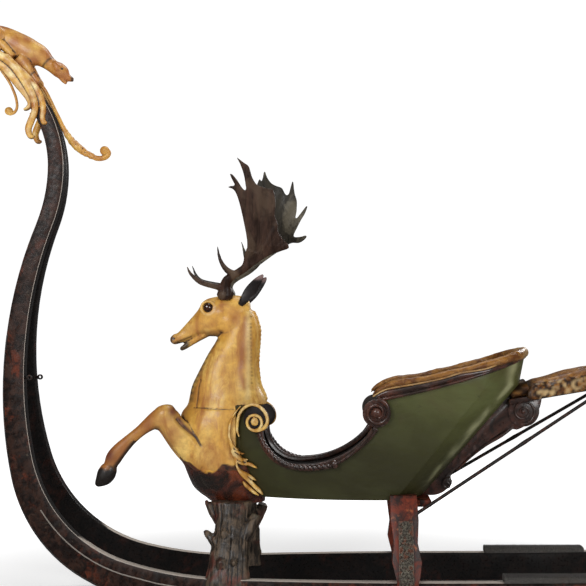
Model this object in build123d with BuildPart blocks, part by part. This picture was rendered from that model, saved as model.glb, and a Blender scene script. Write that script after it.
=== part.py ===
from build123d import *
import math
import os

# One-horse carved sleigh with a stag in front, a boat-shaped seat body and a
# straddle seat for the driver behind. Millimetres. The front of the sleigh is
# at -X, up is +Z, and the soles of the runners stand on Z = 0.

# Runners: side outline as arcs (radius, degrees turned), from the sole up to the prow
GAUGE = 520                 # between the middles of the two runners on the ground
RUNNER_THICK = 36
RUNNER_DEPTH = 100
RUNNER_REAR_X = 1150
OUTER_START_X = -385
OUTER_ARCS = [(820, -27.5), (485, -48.4), (1316, -36.3), (513, 22.2), (330, 35)]
INNER_START_X = -303
INNER_ARCS = [(1216, -15.5), (448, -60.2), (1240, -35.4), (521, 21.1), (420, 35)]
ROCKER_START_X = 505        # behind this the sole rises gently
ROCKER_RADIUS = 3500
TAIL_LIFT_RADIUS = 20000
WALL_BEND_REAR = 10         # where the runners begin to lean together, along the diagonal
WALL_BEND_FRONT = 1450      # where they meet
WALL_BEND_RADIUS = 2500
SHOE_THICK = 5
SHOE_FRONT_ANGLE = 20       # how far the iron runs up the third arc, in degrees

# Seat body: plan sections (z, front x, front half width, widest x, widest half
# width, corner x, corner half width, back x)
BODY_SECTIONS = [
    (338, -210, 80, 60, 168, 215, 172, 312),
    (500, -295, 90, 40, 198, 345, 202, 455),
    (700, -295, 94, 60, 222, 500, 214, 628),
    (900, -295, 96, 80, 236, 530, 226, 668),
]
WALL = 16                   # side, back and front walls
FLOOR = 18
BACK_SLANT = 1.28           # the back leans, so its wall is this much longer along X
FRONT_SCROLL = (-224, 591)
FRONT_SCROLL_R = 41
REAR_SCROLL = (158, 614)
REAR_SCROLL_R = 44
RIM_POINTS = [(-203, 556), (-168, 478), (-80, 450), (60, 488), (150, 572)]
RIM_DEPTH = 16
RIM_PROUD = 8
RAIL_POINTS = [(160, 650), (416, 709), (668, 794)]
RAIL_DEPTH = 18
RAIL_PROUD = 5
LEATHER_TOP = [(160, 702), (416, 760), (668, 834)]
PAD_PROUD = 11
SCROLL_PROUD = 14

# Inside the seat body
SEAT_FRONT_X = 105
SEAT_TOP = 470
SEAT_BOARD = 15
CUSHION = 45
FIT = 0.3                   # clearance between a loose fit and its seat
DECK = 18                   # board that closes the body under the stag's neck
DECK_REAR_X = -216

# Posts between runners and body
BOLSTER_DEPTH = 22
REAR_BOLSTER_X = (205, 331)
REAR_BOLSTER_HALF = 165
POST_THICK = 54
POST_HEAD_IN = 142          # y of a post's inner face at its top
POST_SECTIONS = [           # z, front x, rear x, share of the splay from top to runner
    (356, 199, 284, 0),
    (282, 201, 288, 29 / 96),
    (215, 210, 284, 54 / 96),
    (160, 204, 296, 74 / 96),
    (117, 215, 290, 90 / 96),
    (100, 219, 285, 1),
]
TONGUE_LOW_Z = 40           # the post's tongue laps over the runner's face to here
TONGUE_THICK = 14
POST_FOOT_IN = (GAUGE + RUNNER_THICK) / 2 + TONGUE_THICK - POST_THICK
STRAP_THICK = 4
STRAP_X = (226, 270)
STRAP_LOW_Z = 30
TRUNK_STATIONS = [          # z, middle x, middle y, half length, half width
    (60, -306, 219, 74, 31),
    (100, -305, 214, 72, 29),
    (140, -304, 196, 64, 32),
    (190, -301, 170, 62, 36),
    (270, -300, 122, 54, 40),
    (340, -306, 80, 61, 38),
]
TRUNK_STUBS = [             # start x, y, z, radius, end x, y, z, radius
    (-350, 108, 270, 17, -389, 90, 327, 7),
    (-335, 165, 200, 20, -384, 150, 239, 9),
    (-275, 150, 215, 30, -221, 130, 288, 17),
]

# Tow eyes on the rear edges of the two uprights
EYE_ARC = 12                # degrees up the third arc
EYE_BORE_R = 4
EYE_RING_R = 9
EYE_THICK = 8
EYE_STAND_OFF = 9

# Stag
SEAM_Z = 632                # neck block stands on the chest block here
CHEST_SECTIONS = [          # z, front x, half width
    (430, -470, 116),
    (467, -489, 120),
    (540, -490, 118),
    (601, -483, 104),
    (632, -462, 96),
]
BELLY_SECTIONS = [
    (316, -383, 74),
    (343, -421, 92),
    (401, -459, 108),
    (430, -470, 116),
]
CHEST_REAR_X = -205
NECK_SECTIONS = [           # z, front x, rear x, half width
    (632, -462, -200, 92),
    (700, -445, -225, 76),
    (760, -415, -232, 66),
    (840, -369, -227, 56),
    (880, -350, -225, 51),
    (925, -340, -238, 44),
    (958, -332, -258, 38),
]
HEAD_SECTIONS = [           # x, z, half height, half width
    (-518, 843, 8, 12),
    (-508, 844, 17, 18),
    (-493, 849, 19, 20),
    (-459, 875, 32, 24),
    (-429, 899, 44, 31),
    (-409, 916, 58, 38),
    (-380, 921, 65, 43),
    (-330, 925, 67, 46),
    (-285, 930, 60, 42),
    (-252, 937, 32, 26),
]
JAW = [                     # x, y, z, radius
    (-388, 0, 884, 16),
    (-430, 0, 852, 13),
    (-455, 0, 832, 10),
    (-478, 0, 817, 8),
]
EAR = [
    (-282, 33, 962, 9),
    (-246, 50, 1012, 17),
    (-208, 62, 1054, 4),
]
EYE_PLACE = (-390, 30, 949)
EYEBALL_R = 16
FOREARM = [
    (-405, 78, 475, 52),
    (-462, 80, 520, 44),
    (-510, 82, 565, 38),
    (-546, 82, 608, 32),
]
CANNON = [
    (-522, 82, 598, 30),
    (-580, 82, 565, 26),
    (-647, 82, 511, 20.5),
    (-686, 82, 464, 26),
]
PASTERN = [
    (-674, 82, 482, 20),
    (-698, 82, 440, 24),
    (-706, 82, 414, 23),
]
HOOF = [
    (-695, 82, 434, 24),
    (-716, 82, 405, 29),
    (-737, 82, 382, 13),
]
FAR_LEG_SHIFT = (-36, 0, -13)
ANTLER_BEAM = [
    (-334, 24, 982, 17),
    (-333, 32, 1030, 15),
    (-306, 44, 1054, 13),
    (-266, 56, 1080, 13),
    (-252, 61, 1106, 15),
]
LEFT_TINES = [
    [(-336, 30, 1014, 11), (-369, 36, 1021, 10), (-412, 44, 1034, 9), (-442, 50, 1057, 6),
     (-455, 53, 1080, 3)],
    [(-306, 46, 1056, 11), (-333, 54, 1080, 10), (-351, 60, 1110, 7), (-358, 64, 1150, 3)],
]
RIGHT_TINES = [
    [(-336, 30, 1018, 11), (-394, 40, 1034, 9), (-431, 46, 1045, 8), (-448, 50, 1072, 5),
     (-456, 53, 1096, 3)],
    [(-262, 57, 1086, 10), (-275, 62, 1114, 9), (-283, 66, 1141, 7), (-294, 70, 1175, 3)],
]
PALM_THICK = 10
PALM_TILT = 12              # degrees outward
PALM_FOOT_Z = 1096
PALM_FOOT_Y = 60
LEFT_PALM = [               # x, z: corners and the points between them
    (-259, 1102), (-258, 1161), (-264, 1207), (-277, 1270), (-291, 1316), (-303, 1328),
    (-317, 1333), (-304, 1337), (-292, 1334), (-304, 1354), (-310, 1376), (-284, 1352),
    (-256, 1319), (-266, 1372), (-287, 1425), (-266, 1414), (-251, 1398), (-238, 1364),
    (-221, 1336), (-194, 1329), (-169, 1319), (-164, 1286), (-169, 1253), (-160, 1222),
    (-159, 1194), (-141, 1168), (-122, 1141), (-152, 1128), (-179, 1122), (-204, 1108),
    (-231, 1099), (-246, 1096),
]
RIGHT_PALM = [
    (-259, 1098), (-264, 1200), (-262, 1330), (-246, 1370), (-218, 1421), (-208, 1396),
    (-190, 1376), (-166, 1364), (-142, 1338), (-135, 1364), (-122, 1387), (-116, 1340),
    (-106, 1314), (-108, 1280), (-115, 1249), (-97, 1280), (-72, 1300), (-94, 1258),
    (-104, 1225), (-114, 1206), (-120, 1191), (-96, 1199), (-73, 1194), (-97, 1177),
    (-135, 1170), (-190, 1132),
]

# Acanthus trim beside the front scrolls
ACANTHUS_PROUD = 10
ACANTHUS_OUTLINE = [        # x, z: corners and the points between them
    (-306, 640), (-307, 490), (-306, 342), (-250, 339), (-196, 338), (-228, 362),
    (-246, 395), (-238, 416), (-214, 434), (-250, 438), (-284, 453), (-280, 500),
    (-262, 552), (-280, 600), (-262, 640), (-284, 641),
]

# Driver's straddle seat
BRACKET_HALF = 24
BRACKET_OUTLINE = [
    (702, 655), (683, 597), (620, 550), (597, 552), (574, 545), (491, 486), (409, 409), (404, 397),
    (409, 383), (396, 361), (355, 337), (330, 336), (300, 342), (410, 520), (560, 662), (631, 657),
]
VOLUTE = (642, 612)
VOLUTE_R = 51
VOLUTE_PROUD = 8
KNOB = (392, 379)
KNOB_R = 15
BEAM_FOOT = (590, 635)      # underside of the beam at the body's back
BEAM_SLOPE = 0.168
BEAM_END_X = 1120
BEAM_DEPTH = 16
BEAM_HALF = 58
SADDLE_TOP = [(640, 712), (852, 756), (1180, 796)]
SADDLE_HALF = 96
STAY_R = 6
STAY_FOOT = (281, 206, 300)
STAY_HEAD = (928, 44, 698)
MAT_X = (545, 893)
MAT_HEIGHT = 17
MAT_HALF = 31

# Finial: a hound on foliage, where the two prows meet
PROW_LOW_Z = 1300           # the prow from here up is cut out of the finial
FOLIAGE_HALF = 46
FOLIAGE_OUTLINE = [
    (-1125, 1790), (-1105, 1812), (-1081, 1812), (-1040, 1780), (-984, 1725), (-968, 1704),
    (-947, 1686), (-929, 1655), (-921, 1610), (-922, 1576), (-932, 1554), (-941, 1564),
    (-941, 1592), (-958, 1552), (-965, 1522), (-975, 1508), (-992, 1512), (-996, 1545),
    (-979, 1597), (-992, 1594), (-1006, 1602), (-1000, 1612), (-999, 1634), (-1035, 1685),
    (-1070, 1716), (-1100, 1748),
]
HOUND_HALF = 34
HOUND_OUTLINE = [
    (-1178, 1866), (-1132, 1890), (-1081, 1888), (-1024, 1865), (-980, 1840), (-940, 1811),
    (-903, 1772), (-883, 1768), (-866, 1749), (-862, 1736), (-859, 1725), (-846, 1718),
    (-836, 1705), (-840, 1695), (-849, 1691), (-856, 1698), (-866, 1702), (-872, 1694),
    (-869, 1683), (-877, 1683), (-883, 1688), (-905, 1708), (-923, 1732), (-943, 1746),
    (-965, 1746), (-953, 1728), (-944, 1697), (-952, 1688), (-964, 1692), (-972, 1712),
    (-984, 1725), (-1020, 1750), (-1081, 1805), (-1130, 1815), (-1165, 1838), (-1176, 1850),
]
TENDRILS = [                # each a list of x, y, z, radius
    [(-947, 0, 1682, 6), (-903, 0, 1600, 6), (-880, 0, 1548, 7), (-846, 0, 1502, 9),
     (-800, 0, 1462, 9), (-765, 0, 1448, 8), (-742, 0, 1462, 14)],
    [(-1055, 0, 1712, 6), (-1042, 0, 1656, 5), (-1034, 0, 1630, 5), (-1040, 0, 1608, 6),
     (-1054, 0, 1600, 12)],
]

BEYOND = 4000               # longer than the sleigh, for cuts that go right through

os.makedirs("parts", exist_ok=True)


def save(piece, name):
    """Labels a finished piece and writes it."""
    piece.label = name
    export_step(piece, f"parts/{name}.step")


def save_pair(piece, name):
    """Writes a piece of the near side and its mirror image."""
    save(piece, f"{name}_left")
    save(mirror(piece, about=Plane.XZ), f"{name}_right")


def arc_chain(start, heading, arcs):
    """Tangent arcs from a start point, heading in degrees. Gives the end point and heading."""
    point = Vector(*start)
    for radius, turn in arcs:
        tangent = (math.cos(math.radians(heading)), math.sin(math.radians(heading)))
        arc = JernArc(start=point, tangent=tangent, radius=radius, arc_size=turn)
        point = arc @ 1
        heading += turn
    return point, heading


def arcs_through(points):
    """Arcs through an odd number of points, three at a time."""
    for i in range(0, len(points) - 2, 2):
        ThreePointArc(points[i], points[i + 1], points[i + 2])


def arc_outline(points):
    """A closed outline of arcs: corners alternate with the points that the arcs pass."""
    arcs_through(points + points[:1])


def plate(outline, half, plane=Plane.XZ):
    """A plate cut to an outline of arcs, with its middle on the plane."""
    with BuildPart() as made:
        with BuildSketch(plane):
            with BuildLine():
                arc_outline(outline)
            make_face()
        extrude(amount=half, both=True)
    return made.part


def near(x, y, z):
    """A place on the near side, from its distance y to the middle."""
    return Vector(x, -y, z)


def limb(stations):
    """A round limb on the near side, lofted through (x, y, z, radius) stations."""
    points = [near(*s[:3]) for s in stations]
    with BuildPart() as made:
        for i, station in enumerate(stations):
            ahead = points[min(i + 1, len(points) - 1)] - points[max(i - 1, 0)]
            with BuildSketch(Plane(origin=points[i], z_dir=ahead)):
                Circle(station[3])
        loft()
    return made.part


# Runners
# The wall plane is seen along the diagonal on which both the ground run and the
# upright run of a runner go steadily forward.
wall_plane = Plane(origin=(0, 0, 0), x_dir=(-1, 0, 1), z_dir=(1, 0, 1))

with BuildPart() as runner_outline:
    with BuildSketch(Plane.XZ):
        with BuildLine():
            prow_outer, _ = arc_chain((OUTER_START_X, 0), 180, OUTER_ARCS)
            prow_inner, _ = arc_chain((INNER_START_X, RUNNER_DEPTH), 180, INNER_ARCS)
            Line(prow_outer, prow_inner)
            Line((OUTER_START_X, 0), (ROCKER_START_X, 0))
            rocker = JernArc(
                start=(ROCKER_START_X, 0), tangent=(1, 0), radius=ROCKER_RADIUS,
                arc_size=math.degrees((RUNNER_REAR_X - ROCKER_START_X) / ROCKER_RADIUS),
            )
            Line((INNER_START_X, RUNNER_DEPTH), (ROCKER_START_X, RUNNER_DEPTH))
            lift = JernArc(
                start=(ROCKER_START_X, RUNNER_DEPTH), tangent=(1, 0), radius=TAIL_LIFT_RADIUS,
                arc_size=math.degrees((RUNNER_REAR_X - ROCKER_START_X) / TAIL_LIFT_RADIUS),
            )
            tail_low, tail_high = rocker @ 1, lift @ 1
            ThreePointArc(tail_low, (tail_low + tail_high) / 2 + Vector(24, 0), tail_high)
        make_face()
    extrude(amount=BEYOND, both=True)

with BuildPart() as shoe_outline:
    third_radius = OUTER_ARCS[2][0]
    with BuildSketch(Plane.XZ):
        with BuildLine():
            outside = OUTER_ARCS[:2] + [(third_radius, -SHOE_FRONT_ANGLE)]
            inside = [(radius - SHOE_THICK, turn) for radius, turn in outside]
            tip_out, _ = arc_chain((OUTER_START_X, 0), 180, outside)
            tip_in, _ = arc_chain((OUTER_START_X, SHOE_THICK), 180, inside)
            Line(tip_out, tip_in)
            Line((OUTER_START_X, 0), (ROCKER_START_X, 0))
            Line((OUTER_START_X, SHOE_THICK), (ROCKER_START_X, SHOE_THICK))
            rear_turn = math.degrees((RUNNER_REAR_X - ROCKER_START_X) / ROCKER_RADIUS)
            rear_out = JernArc(start=(ROCKER_START_X, 0), tangent=(1, 0), radius=ROCKER_RADIUS,
                               arc_size=rear_turn)
            rear_in = JernArc(start=(ROCKER_START_X, SHOE_THICK), tangent=(1, 0),
                              radius=ROCKER_RADIUS - SHOE_THICK, arc_size=rear_turn)
            Line(rear_out @ 1, rear_in @ 1)
        make_face()
    extrude(amount=BEYOND, both=True)

with BuildPart() as runner_wall:
    with BuildSketch(wall_plane):
        with BuildLine():
            FilletPolyline(
                (-1100, GAUGE / 2), (WALL_BEND_REAR, GAUGE / 2),
                (WALL_BEND_FRONT, RUNNER_THICK / 2), (2150, RUNNER_THICK / 2),
                radius=WALL_BEND_RADIUS,
            )
            offset(amount=RUNNER_THICK / 2, side=Side.BOTH)
        make_face()
    extrude(amount=BEYOND, both=True)

with BuildPart() as runner:
    add(runner_wall.part)
    add(runner_outline.part, mode=Mode.INTERSECT)
    add(shoe_outline.part, mode=Mode.SUBTRACT)
save_pair(runner.part, "runner")

with BuildPart() as shoe:
    add(runner_wall.part)
    add(shoe_outline.part, mode=Mode.INTERSECT)
save_pair(shoe.part, "shoe")


# Seat body
def body_hull(grow):
    """The boat shape of the body, grown or shrunk by a wall, from its bottom to above its rail."""
    with BuildPart() as hull:
        for z, front, wf, x_wide, ww, x_corner, wc, back in BODY_SECTIONS:
            front, back = front - grow, back + grow * BACK_SLANT
            wf, ww, wc = wf + grow, ww + grow, wc + grow
            with BuildSketch(Plane.XY.offset(z)):
                with BuildLine():
                    Line((front, -wf), (front, wf))
                    ThreePointArc((front, wf), (x_wide, ww), (x_corner, wc))
                    ThreePointArc((x_corner, wc), (back, 0), (x_corner, -wc))
                    ThreePointArc((x_corner, -wc), (x_wide, -ww), (front, -wf))
                make_face()
        loft(ruled=True)
    return hull.part


BOTTOM_Z = BODY_SECTIONS[0][0]
hull_out = body_hull(0)
hull_in = body_hull(-WALL)
hull_fit = body_hull(-WALL - FIT)
hull_proud = body_hull(RIM_PROUD)
hull_deep = body_hull(-WALL - RIM_PROUD)

with BuildPart() as side_view:
    with BuildSketch(Plane.XZ):
        with BuildLine():
            sx, sz = FRONT_SCROLL
            rx, rz = REAR_SCROLL
            rim = RIM_POINTS
            Polyline((rim[0][0], rim[0][1]), (sx, sz), (sx, SEAM_Z), (-400, SEAM_Z), (-400, 200),
                     (900, 200), (900, RAIL_POINTS[2][1]), RAIL_POINTS[2])
            ThreePointArc(*RAIL_POINTS)
            Polyline(RAIL_POINTS[0], (rx, rz), rim[4])
            arcs_through(rim)
        make_face()
        with Locations(FRONT_SCROLL):
            Circle(FRONT_SCROLL_R)
        with Locations(REAR_SCROLL):
            Circle(REAR_SCROLL_R)
    extrude(amount=BEYOND, both=True)

with BuildPart() as rim_band:
    with BuildSketch(Plane.XZ):
        with BuildLine():
            arcs_through(RIM_POINTS)
            offset(amount=RIM_DEPTH, side=Side.RIGHT)
        make_face()
        with Locations(FRONT_SCROLL):
            Circle(FRONT_SCROLL_R, mode=Mode.SUBTRACT)
        with Locations(REAR_SCROLL):
            Circle(REAR_SCROLL_R, mode=Mode.SUBTRACT)
    extrude(amount=BEYOND, both=True)

with BuildPart() as body_shell:
    add(hull_out)
    add(hull_in, mode=Mode.SUBTRACT)
    add(side_view.part, mode=Mode.INTERSECT)
    add(rim_band.part, mode=Mode.SUBTRACT)

corner_low = BODY_SECTIONS[0]
corner_high = BODY_SECTIONS[2]
corner_plane = Plane(
    origin=(corner_low[5], 0, corner_low[0]),
    x_dir=(0, 1, 0),
    z_dir=(corner_high[0] - corner_low[0], 0, -(corner_high[5] - corner_low[5])),
)

with BuildPart() as body_floor:
    with BuildSketch(Plane.XY.offset(BOTTOM_Z)):
        Rectangle(BEYOND, BEYOND)
    extrude(amount=FLOOR)
    add(hull_in, mode=Mode.INTERSECT)
save(body_floor.part, "body_floor")

with BuildPart() as body_back:
    add(body_shell.part)
    split(bisect_by=corner_plane, keep=Keep.TOP)
save(body_back.part, "body_back")

low, mid = BODY_SECTIONS[0], BODY_SECTIONS[1]
with BuildPart() as front_cut:
    with BuildSketch(Plane.XZ):
        with BuildLine():
            Polyline((low[1] + WALL, low[0] - WALL), (low[1] + WALL, low[0]), (mid[1] + WALL, mid[0]),
                     (mid[1] + WALL, SEAM_Z + WALL), (-700, SEAM_Z + WALL), (-700, low[0] - WALL),
                     close=True)
        make_face()
    extrude(amount=BEYOND, both=True)

with BuildPart() as body_front:
    add(body_shell.part)
    add(front_cut.part, mode=Mode.INTERSECT)
save(body_front.part, "body_front")

with BuildPart() as body_sides:
    add(body_shell.part)
    add(front_cut.part, mode=Mode.SUBTRACT)
    split(bisect_by=corner_plane, keep=Keep.BOTTOM)
side_solids = body_sides.part.solids().sort_by(Axis.Y)
save_pair(Part(side_solids[0].wrapped), "body_side")

with BuildPart() as front_deck:
    with BuildSketch(Plane.XY.offset(SEAM_Z - DECK)):
        with Locations((DECK_REAR_X - BEYOND / 2, 0)):
            Rectangle(BEYOND, BEYOND)
    extrude(amount=DECK)
    add(hull_in, mode=Mode.INTERSECT)
save(front_deck.part, "front_deck")


def band_around(lower_points, upper_points, outward, inward):
    """A strip of the body's wall between two curves seen from the side, thicker than the wall."""
    with BuildPart() as made:
        add(outward)
        add(inward, mode=Mode.SUBTRACT)
        with BuildPart(mode=Mode.INTERSECT):
            with BuildSketch(Plane.XZ):
                with BuildLine():
                    lower = ThreePointArc(*lower_points)
                    upper = ThreePointArc(*upper_points)
                    Line(lower @ 0, upper @ 0)
                    Line(lower @ 1, upper @ 1)
                make_face()
            extrude(amount=BEYOND, both=True)
    return made.part


def scroll_bore(place, radius):
    """A rod right across the body where a pair of scrolls stands."""
    return Pos(place[0], 0, place[1]) * Rot(90, 0, 0) * Cylinder(radius, BEYOND)


front_scroll_bore = scroll_bore(FRONT_SCROLL, FRONT_SCROLL_R)
rear_scroll_bore = scroll_bore(REAR_SCROLL, REAR_SCROLL_R)

rail_top = [(x, z + RAIL_DEPTH) for x, z in RAIL_POINTS]
with BuildPart() as top_rail:
    add(band_around(RAIL_POINTS, rail_top, body_hull(RAIL_PROUD), body_hull(-WALL - RAIL_PROUD)))
    add(rear_scroll_bore, mode=Mode.SUBTRACT)
save(top_rail.part, "top_rail")

save(band_around(rail_top, LEATHER_TOP, body_hull(PAD_PROUD), body_hull(-WALL - PAD_PROUD)), "back_padding")

near_half = Pos(0, -BEYOND / 2, 0) * Box(BEYOND, BEYOND, BEYOND)

with BuildPart() as rim:
    add(hull_proud)
    add(hull_deep, mode=Mode.SUBTRACT)
    add(rim_band.part, mode=Mode.INTERSECT)
    add(near_half, mode=Mode.INTERSECT)
save_pair(rim.part, "rim")

for bore, name in ((front_scroll_bore, "front_scroll"), (rear_scroll_bore, "rear_scroll")):
    with BuildPart() as scroll:
        add(body_hull(SCROLL_PROUD))
        add(hull_out, mode=Mode.SUBTRACT)
        add(bore, mode=Mode.INTERSECT)
        add(near_half, mode=Mode.INTERSECT)
    save_pair(scroll.part, name)

# Seat inside the body
with BuildPart() as seat_board:
    with BuildSketch(Plane.XY.offset(SEAT_TOP - SEAT_BOARD)):
        with Locations((SEAT_FRONT_X + BEYOND / 2, 0)):
            Rectangle(BEYOND, BEYOND)
    extrude(amount=SEAT_BOARD)
    add(hull_fit, mode=Mode.INTERSECT)
save(seat_board.part, "seat_board")

with BuildPart() as seat_riser:
    with BuildSketch(Plane.XY.offset(BOTTOM_Z + FLOOR)):
        with Locations((SEAT_FRONT_X + SEAT_BOARD / 2, 0)):
            Rectangle(SEAT_BOARD, BEYOND)
    extrude(amount=SEAT_TOP - SEAT_BOARD - BOTTOM_Z - FLOOR)
    add(hull_fit, mode=Mode.INTERSECT)
save(seat_riser.part, "seat_riser")

with BuildPart() as seat_cushion:
    with BuildSketch(Plane.XY.offset(SEAT_TOP)):
        with Locations((SEAT_FRONT_X + BEYOND / 2, 0)):
            Rectangle(BEYOND, BEYOND)
    extrude(amount=CUSHION)
    add(body_hull(-WALL - RIM_PROUD - FIT), mode=Mode.INTERSECT)
save(seat_cushion.part, "seat_cushion")

# Posts and the cross piece under the body


def post_outside(share):
    """How far out a post's outer face stands at a share of its splay."""
    return POST_HEAD_IN + (POST_FOOT_IN - POST_HEAD_IN) * share + POST_THICK


with BuildPart() as rear_post:
    for z, x_front, x_rear, share in POST_SECTIONS:
        with BuildSketch(Plane.XY.offset(z)):
            with Locations(((x_front + x_rear) / 2, POST_THICK / 2 - post_outside(share))):
                Rectangle(x_rear - x_front, POST_THICK)
    loft(ruled=True)
    foot_z, foot_front, foot_rear, foot_share = POST_SECTIONS[-1]
    with BuildSketch(Plane.XY.offset(TONGUE_LOW_Z)):
        with Locations(((foot_front + foot_rear) / 2, TONGUE_THICK / 2 - post_outside(foot_share))):
            Rectangle(foot_rear - foot_front, TONGUE_THICK)
    extrude(amount=foot_z - TONGUE_LOW_Z)
    add(runner.part, mode=Mode.SUBTRACT)
    add(hull_out, mode=Mode.SUBTRACT)
save_pair(rear_post.part, "rear_post")

with BuildPart() as rear_bolster:
    with BuildSketch(Plane.XY.offset(BOTTOM_Z - BOLSTER_DEPTH)):
        with Locations((sum(REAR_BOLSTER_X) / 2, 0)):
            Rectangle(REAR_BOLSTER_X[1] - REAR_BOLSTER_X[0], 2 * REAR_BOLSTER_HALF)
    extrude(amount=BOLSTER_DEPTH)
    add([rear_post.part, mirror(rear_post.part, about=Plane.XZ)], mode=Mode.SUBTRACT)
save(rear_bolster.part, "rear_bolster")

with BuildPart() as post_strap:
    with BuildSketch(Plane.YZ.offset(STRAP_X[0])):
        with BuildLine():
            face = [(-post_outside(row[3]), row[0]) for row in POST_SECTIONS[1:]]
            face.append((-post_outside(foot_share), STRAP_LOW_Z))
            outside = [(y - STRAP_THICK, z) for y, z in face]
            Polyline(face + outside[::-1], close=True)
        make_face()
    extrude(amount=STRAP_X[1] - STRAP_X[0])
save_pair(post_strap.part, "post_strap")

# Stag's belly and the trunks that carry it
with BuildPart() as belly:
    for z, x_front, half_wide in BELLY_SECTIONS:
        with BuildSketch(Plane.XY.offset(z)):
            with Locations(((x_front + CHEST_REAR_X) / 2, 0)):
                Ellipse((CHEST_REAR_X - x_front) / 2, half_wide)
    loft()
    add(body_hull(ACANTHUS_PROUD), mode=Mode.SUBTRACT)
save(belly.part, "stag_belly")

with BuildPart() as trunk:
    for z, x, y, half_long, half_wide in TRUNK_STATIONS:
        with BuildSketch(Plane.XY.offset(z)):
            with Locations((x, -y)):
                Ellipse(half_long, half_wide)
    loft()
    for stub in TRUNK_STUBS:
        add(limb([stub[:4], stub[4:]]))
    add(runner.part, mode=Mode.SUBTRACT)
    add(belly.part, mode=Mode.SUBTRACT)
    add(body_hull(ACANTHUS_PROUD), mode=Mode.SUBTRACT)
save_pair(trunk.part, "trunk")

# Tow eyes
eye_foot, eye_heading = arc_chain((INNER_START_X, RUNNER_DEPTH), 180,
                                  INNER_ARCS[:2] + [(INNER_ARCS[2][0], -EYE_ARC)])
eye_along = (eye_foot.Y - eye_foot.X) / math.sqrt(2)
lean = (WALL_BEND_FRONT - eye_along) / (WALL_BEND_FRONT - WALL_BEND_REAR)
eye_y = RUNNER_THICK / 2 + (GAUGE - RUNNER_THICK) / 2 * lean
eye_x = eye_foot.X + EYE_STAND_OFF + EYE_RING_R / 2
with BuildPart() as tow_eye:
    with BuildSketch(Plane(origin=(eye_x, -eye_y, eye_foot.Y), x_dir=(1, 0, 0), z_dir=(0, -1, 0))):
        Circle(EYE_RING_R)
        with Locations((-EYE_RING_R - EYE_STAND_OFF / 2, 0)):
            Rectangle(EYE_RING_R + EYE_STAND_OFF, EYE_THICK)
        Circle(EYE_BORE_R, mode=Mode.SUBTRACT)
    extrude(amount=EYE_THICK / 2, both=True)
    add(runner.part, mode=Mode.SUBTRACT)
save_pair(tow_eye.part, "tow_eye")

# Acanthus trim
with BuildPart() as acanthus:
    add(body_hull(ACANTHUS_PROUD))
    add(hull_out, mode=Mode.SUBTRACT)
    add(plate(ACANTHUS_OUTLINE, BEYOND), mode=Mode.INTERSECT)
    add(front_scroll_bore, mode=Mode.SUBTRACT)
    split(bisect_by=Plane.XY.offset(SEAM_Z), keep=Keep.BOTTOM)
    add(near_half, mode=Mode.INTERSECT)
save_pair(acanthus.part, "acanthus")

# Stag
with BuildPart() as chest:
    for z, x_front, half_wide in CHEST_SECTIONS:
        with BuildSketch(Plane.XY.offset(z)):
            with Locations(((x_front + CHEST_REAR_X) / 2, 0)):
                Ellipse((CHEST_REAR_X - x_front) / 2, half_wide)
    loft()
    add(body_hull(ACANTHUS_PROUD), mode=Mode.SUBTRACT)
save(chest.part, "stag_chest")

with BuildPart() as head:
    for x, z, half_high, half_wide in HEAD_SECTIONS:
        with BuildSketch(Plane.YZ.offset(x)):
            with Locations((0, z)):
                Ellipse(half_wide, half_high)
    loft()
    add(limb(JAW))
eyeballs = [Pos(EYE_PLACE[0], side * EYE_PLACE[1], EYE_PLACE[2]) * Sphere(EYEBALL_R) for side in (-1, 1)]
with BuildPart() as stag_head:
    add(head.part)
    add(eyeballs, mode=Mode.SUBTRACT)
save(stag_head.part, "stag_head")
with BuildPart() as stag_eyes:
    add(eyeballs)
save(stag_eyes.part, "stag_eyes")

with BuildPart() as neck:
    for z, x_front, x_rear, half_wide in NECK_SECTIONS:
        with BuildSketch(Plane.XY.offset(z)):
            with Locations(((x_front + x_rear) / 2, 0)):
                Ellipse((x_rear - x_front) / 2, half_wide)
    loft()
    add(head.part, mode=Mode.SUBTRACT)
save(neck.part, "stag_neck")

with BuildPart() as near_ear:
    add(limb(EAR))
    add(head.part, mode=Mode.SUBTRACT)
with BuildPart() as stag_ears:
    add(near_ear.part)
    mirror(about=Plane.XZ)
save(stag_ears.part, "stag_ears")

for shift, about, name in (((0, 0, 0), None, "foreleg_left"), (FAR_LEG_SHIFT, Plane.XZ, "foreleg_right")):
    with BuildPart() as foreleg:
        for part_of_leg in (FOREARM, CANNON, PASTERN, HOOF):
            add(Pos(*shift) * limb(part_of_leg))
        add([chest.part, belly.part], mode=Mode.SUBTRACT)
    save(mirror(foreleg.part, about=about) if about else foreleg.part, name)

palm_plane = Plane(
    origin=near(0, PALM_FOOT_Y, PALM_FOOT_Z), x_dir=(1, 0, 0),
    z_dir=(0, -math.cos(math.radians(PALM_TILT)), -math.sin(math.radians(PALM_TILT))),
)
antlers = []
for tines, palm in ((LEFT_TINES, LEFT_PALM), (RIGHT_TINES, RIGHT_PALM)):
    with BuildPart() as antler:
        for tine in [ANTLER_BEAM, *tines]:
            add(limb(tine))
        add(plate([(x, z - PALM_FOOT_Z) for x, z in palm], PALM_THICK / 2, palm_plane))
        add(head.part, mode=Mode.SUBTRACT)
    antlers.append(antler.part)
save(antlers[0], "antler_left")
save(mirror(antlers[1], about=Plane.XZ), "antler_right")

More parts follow.
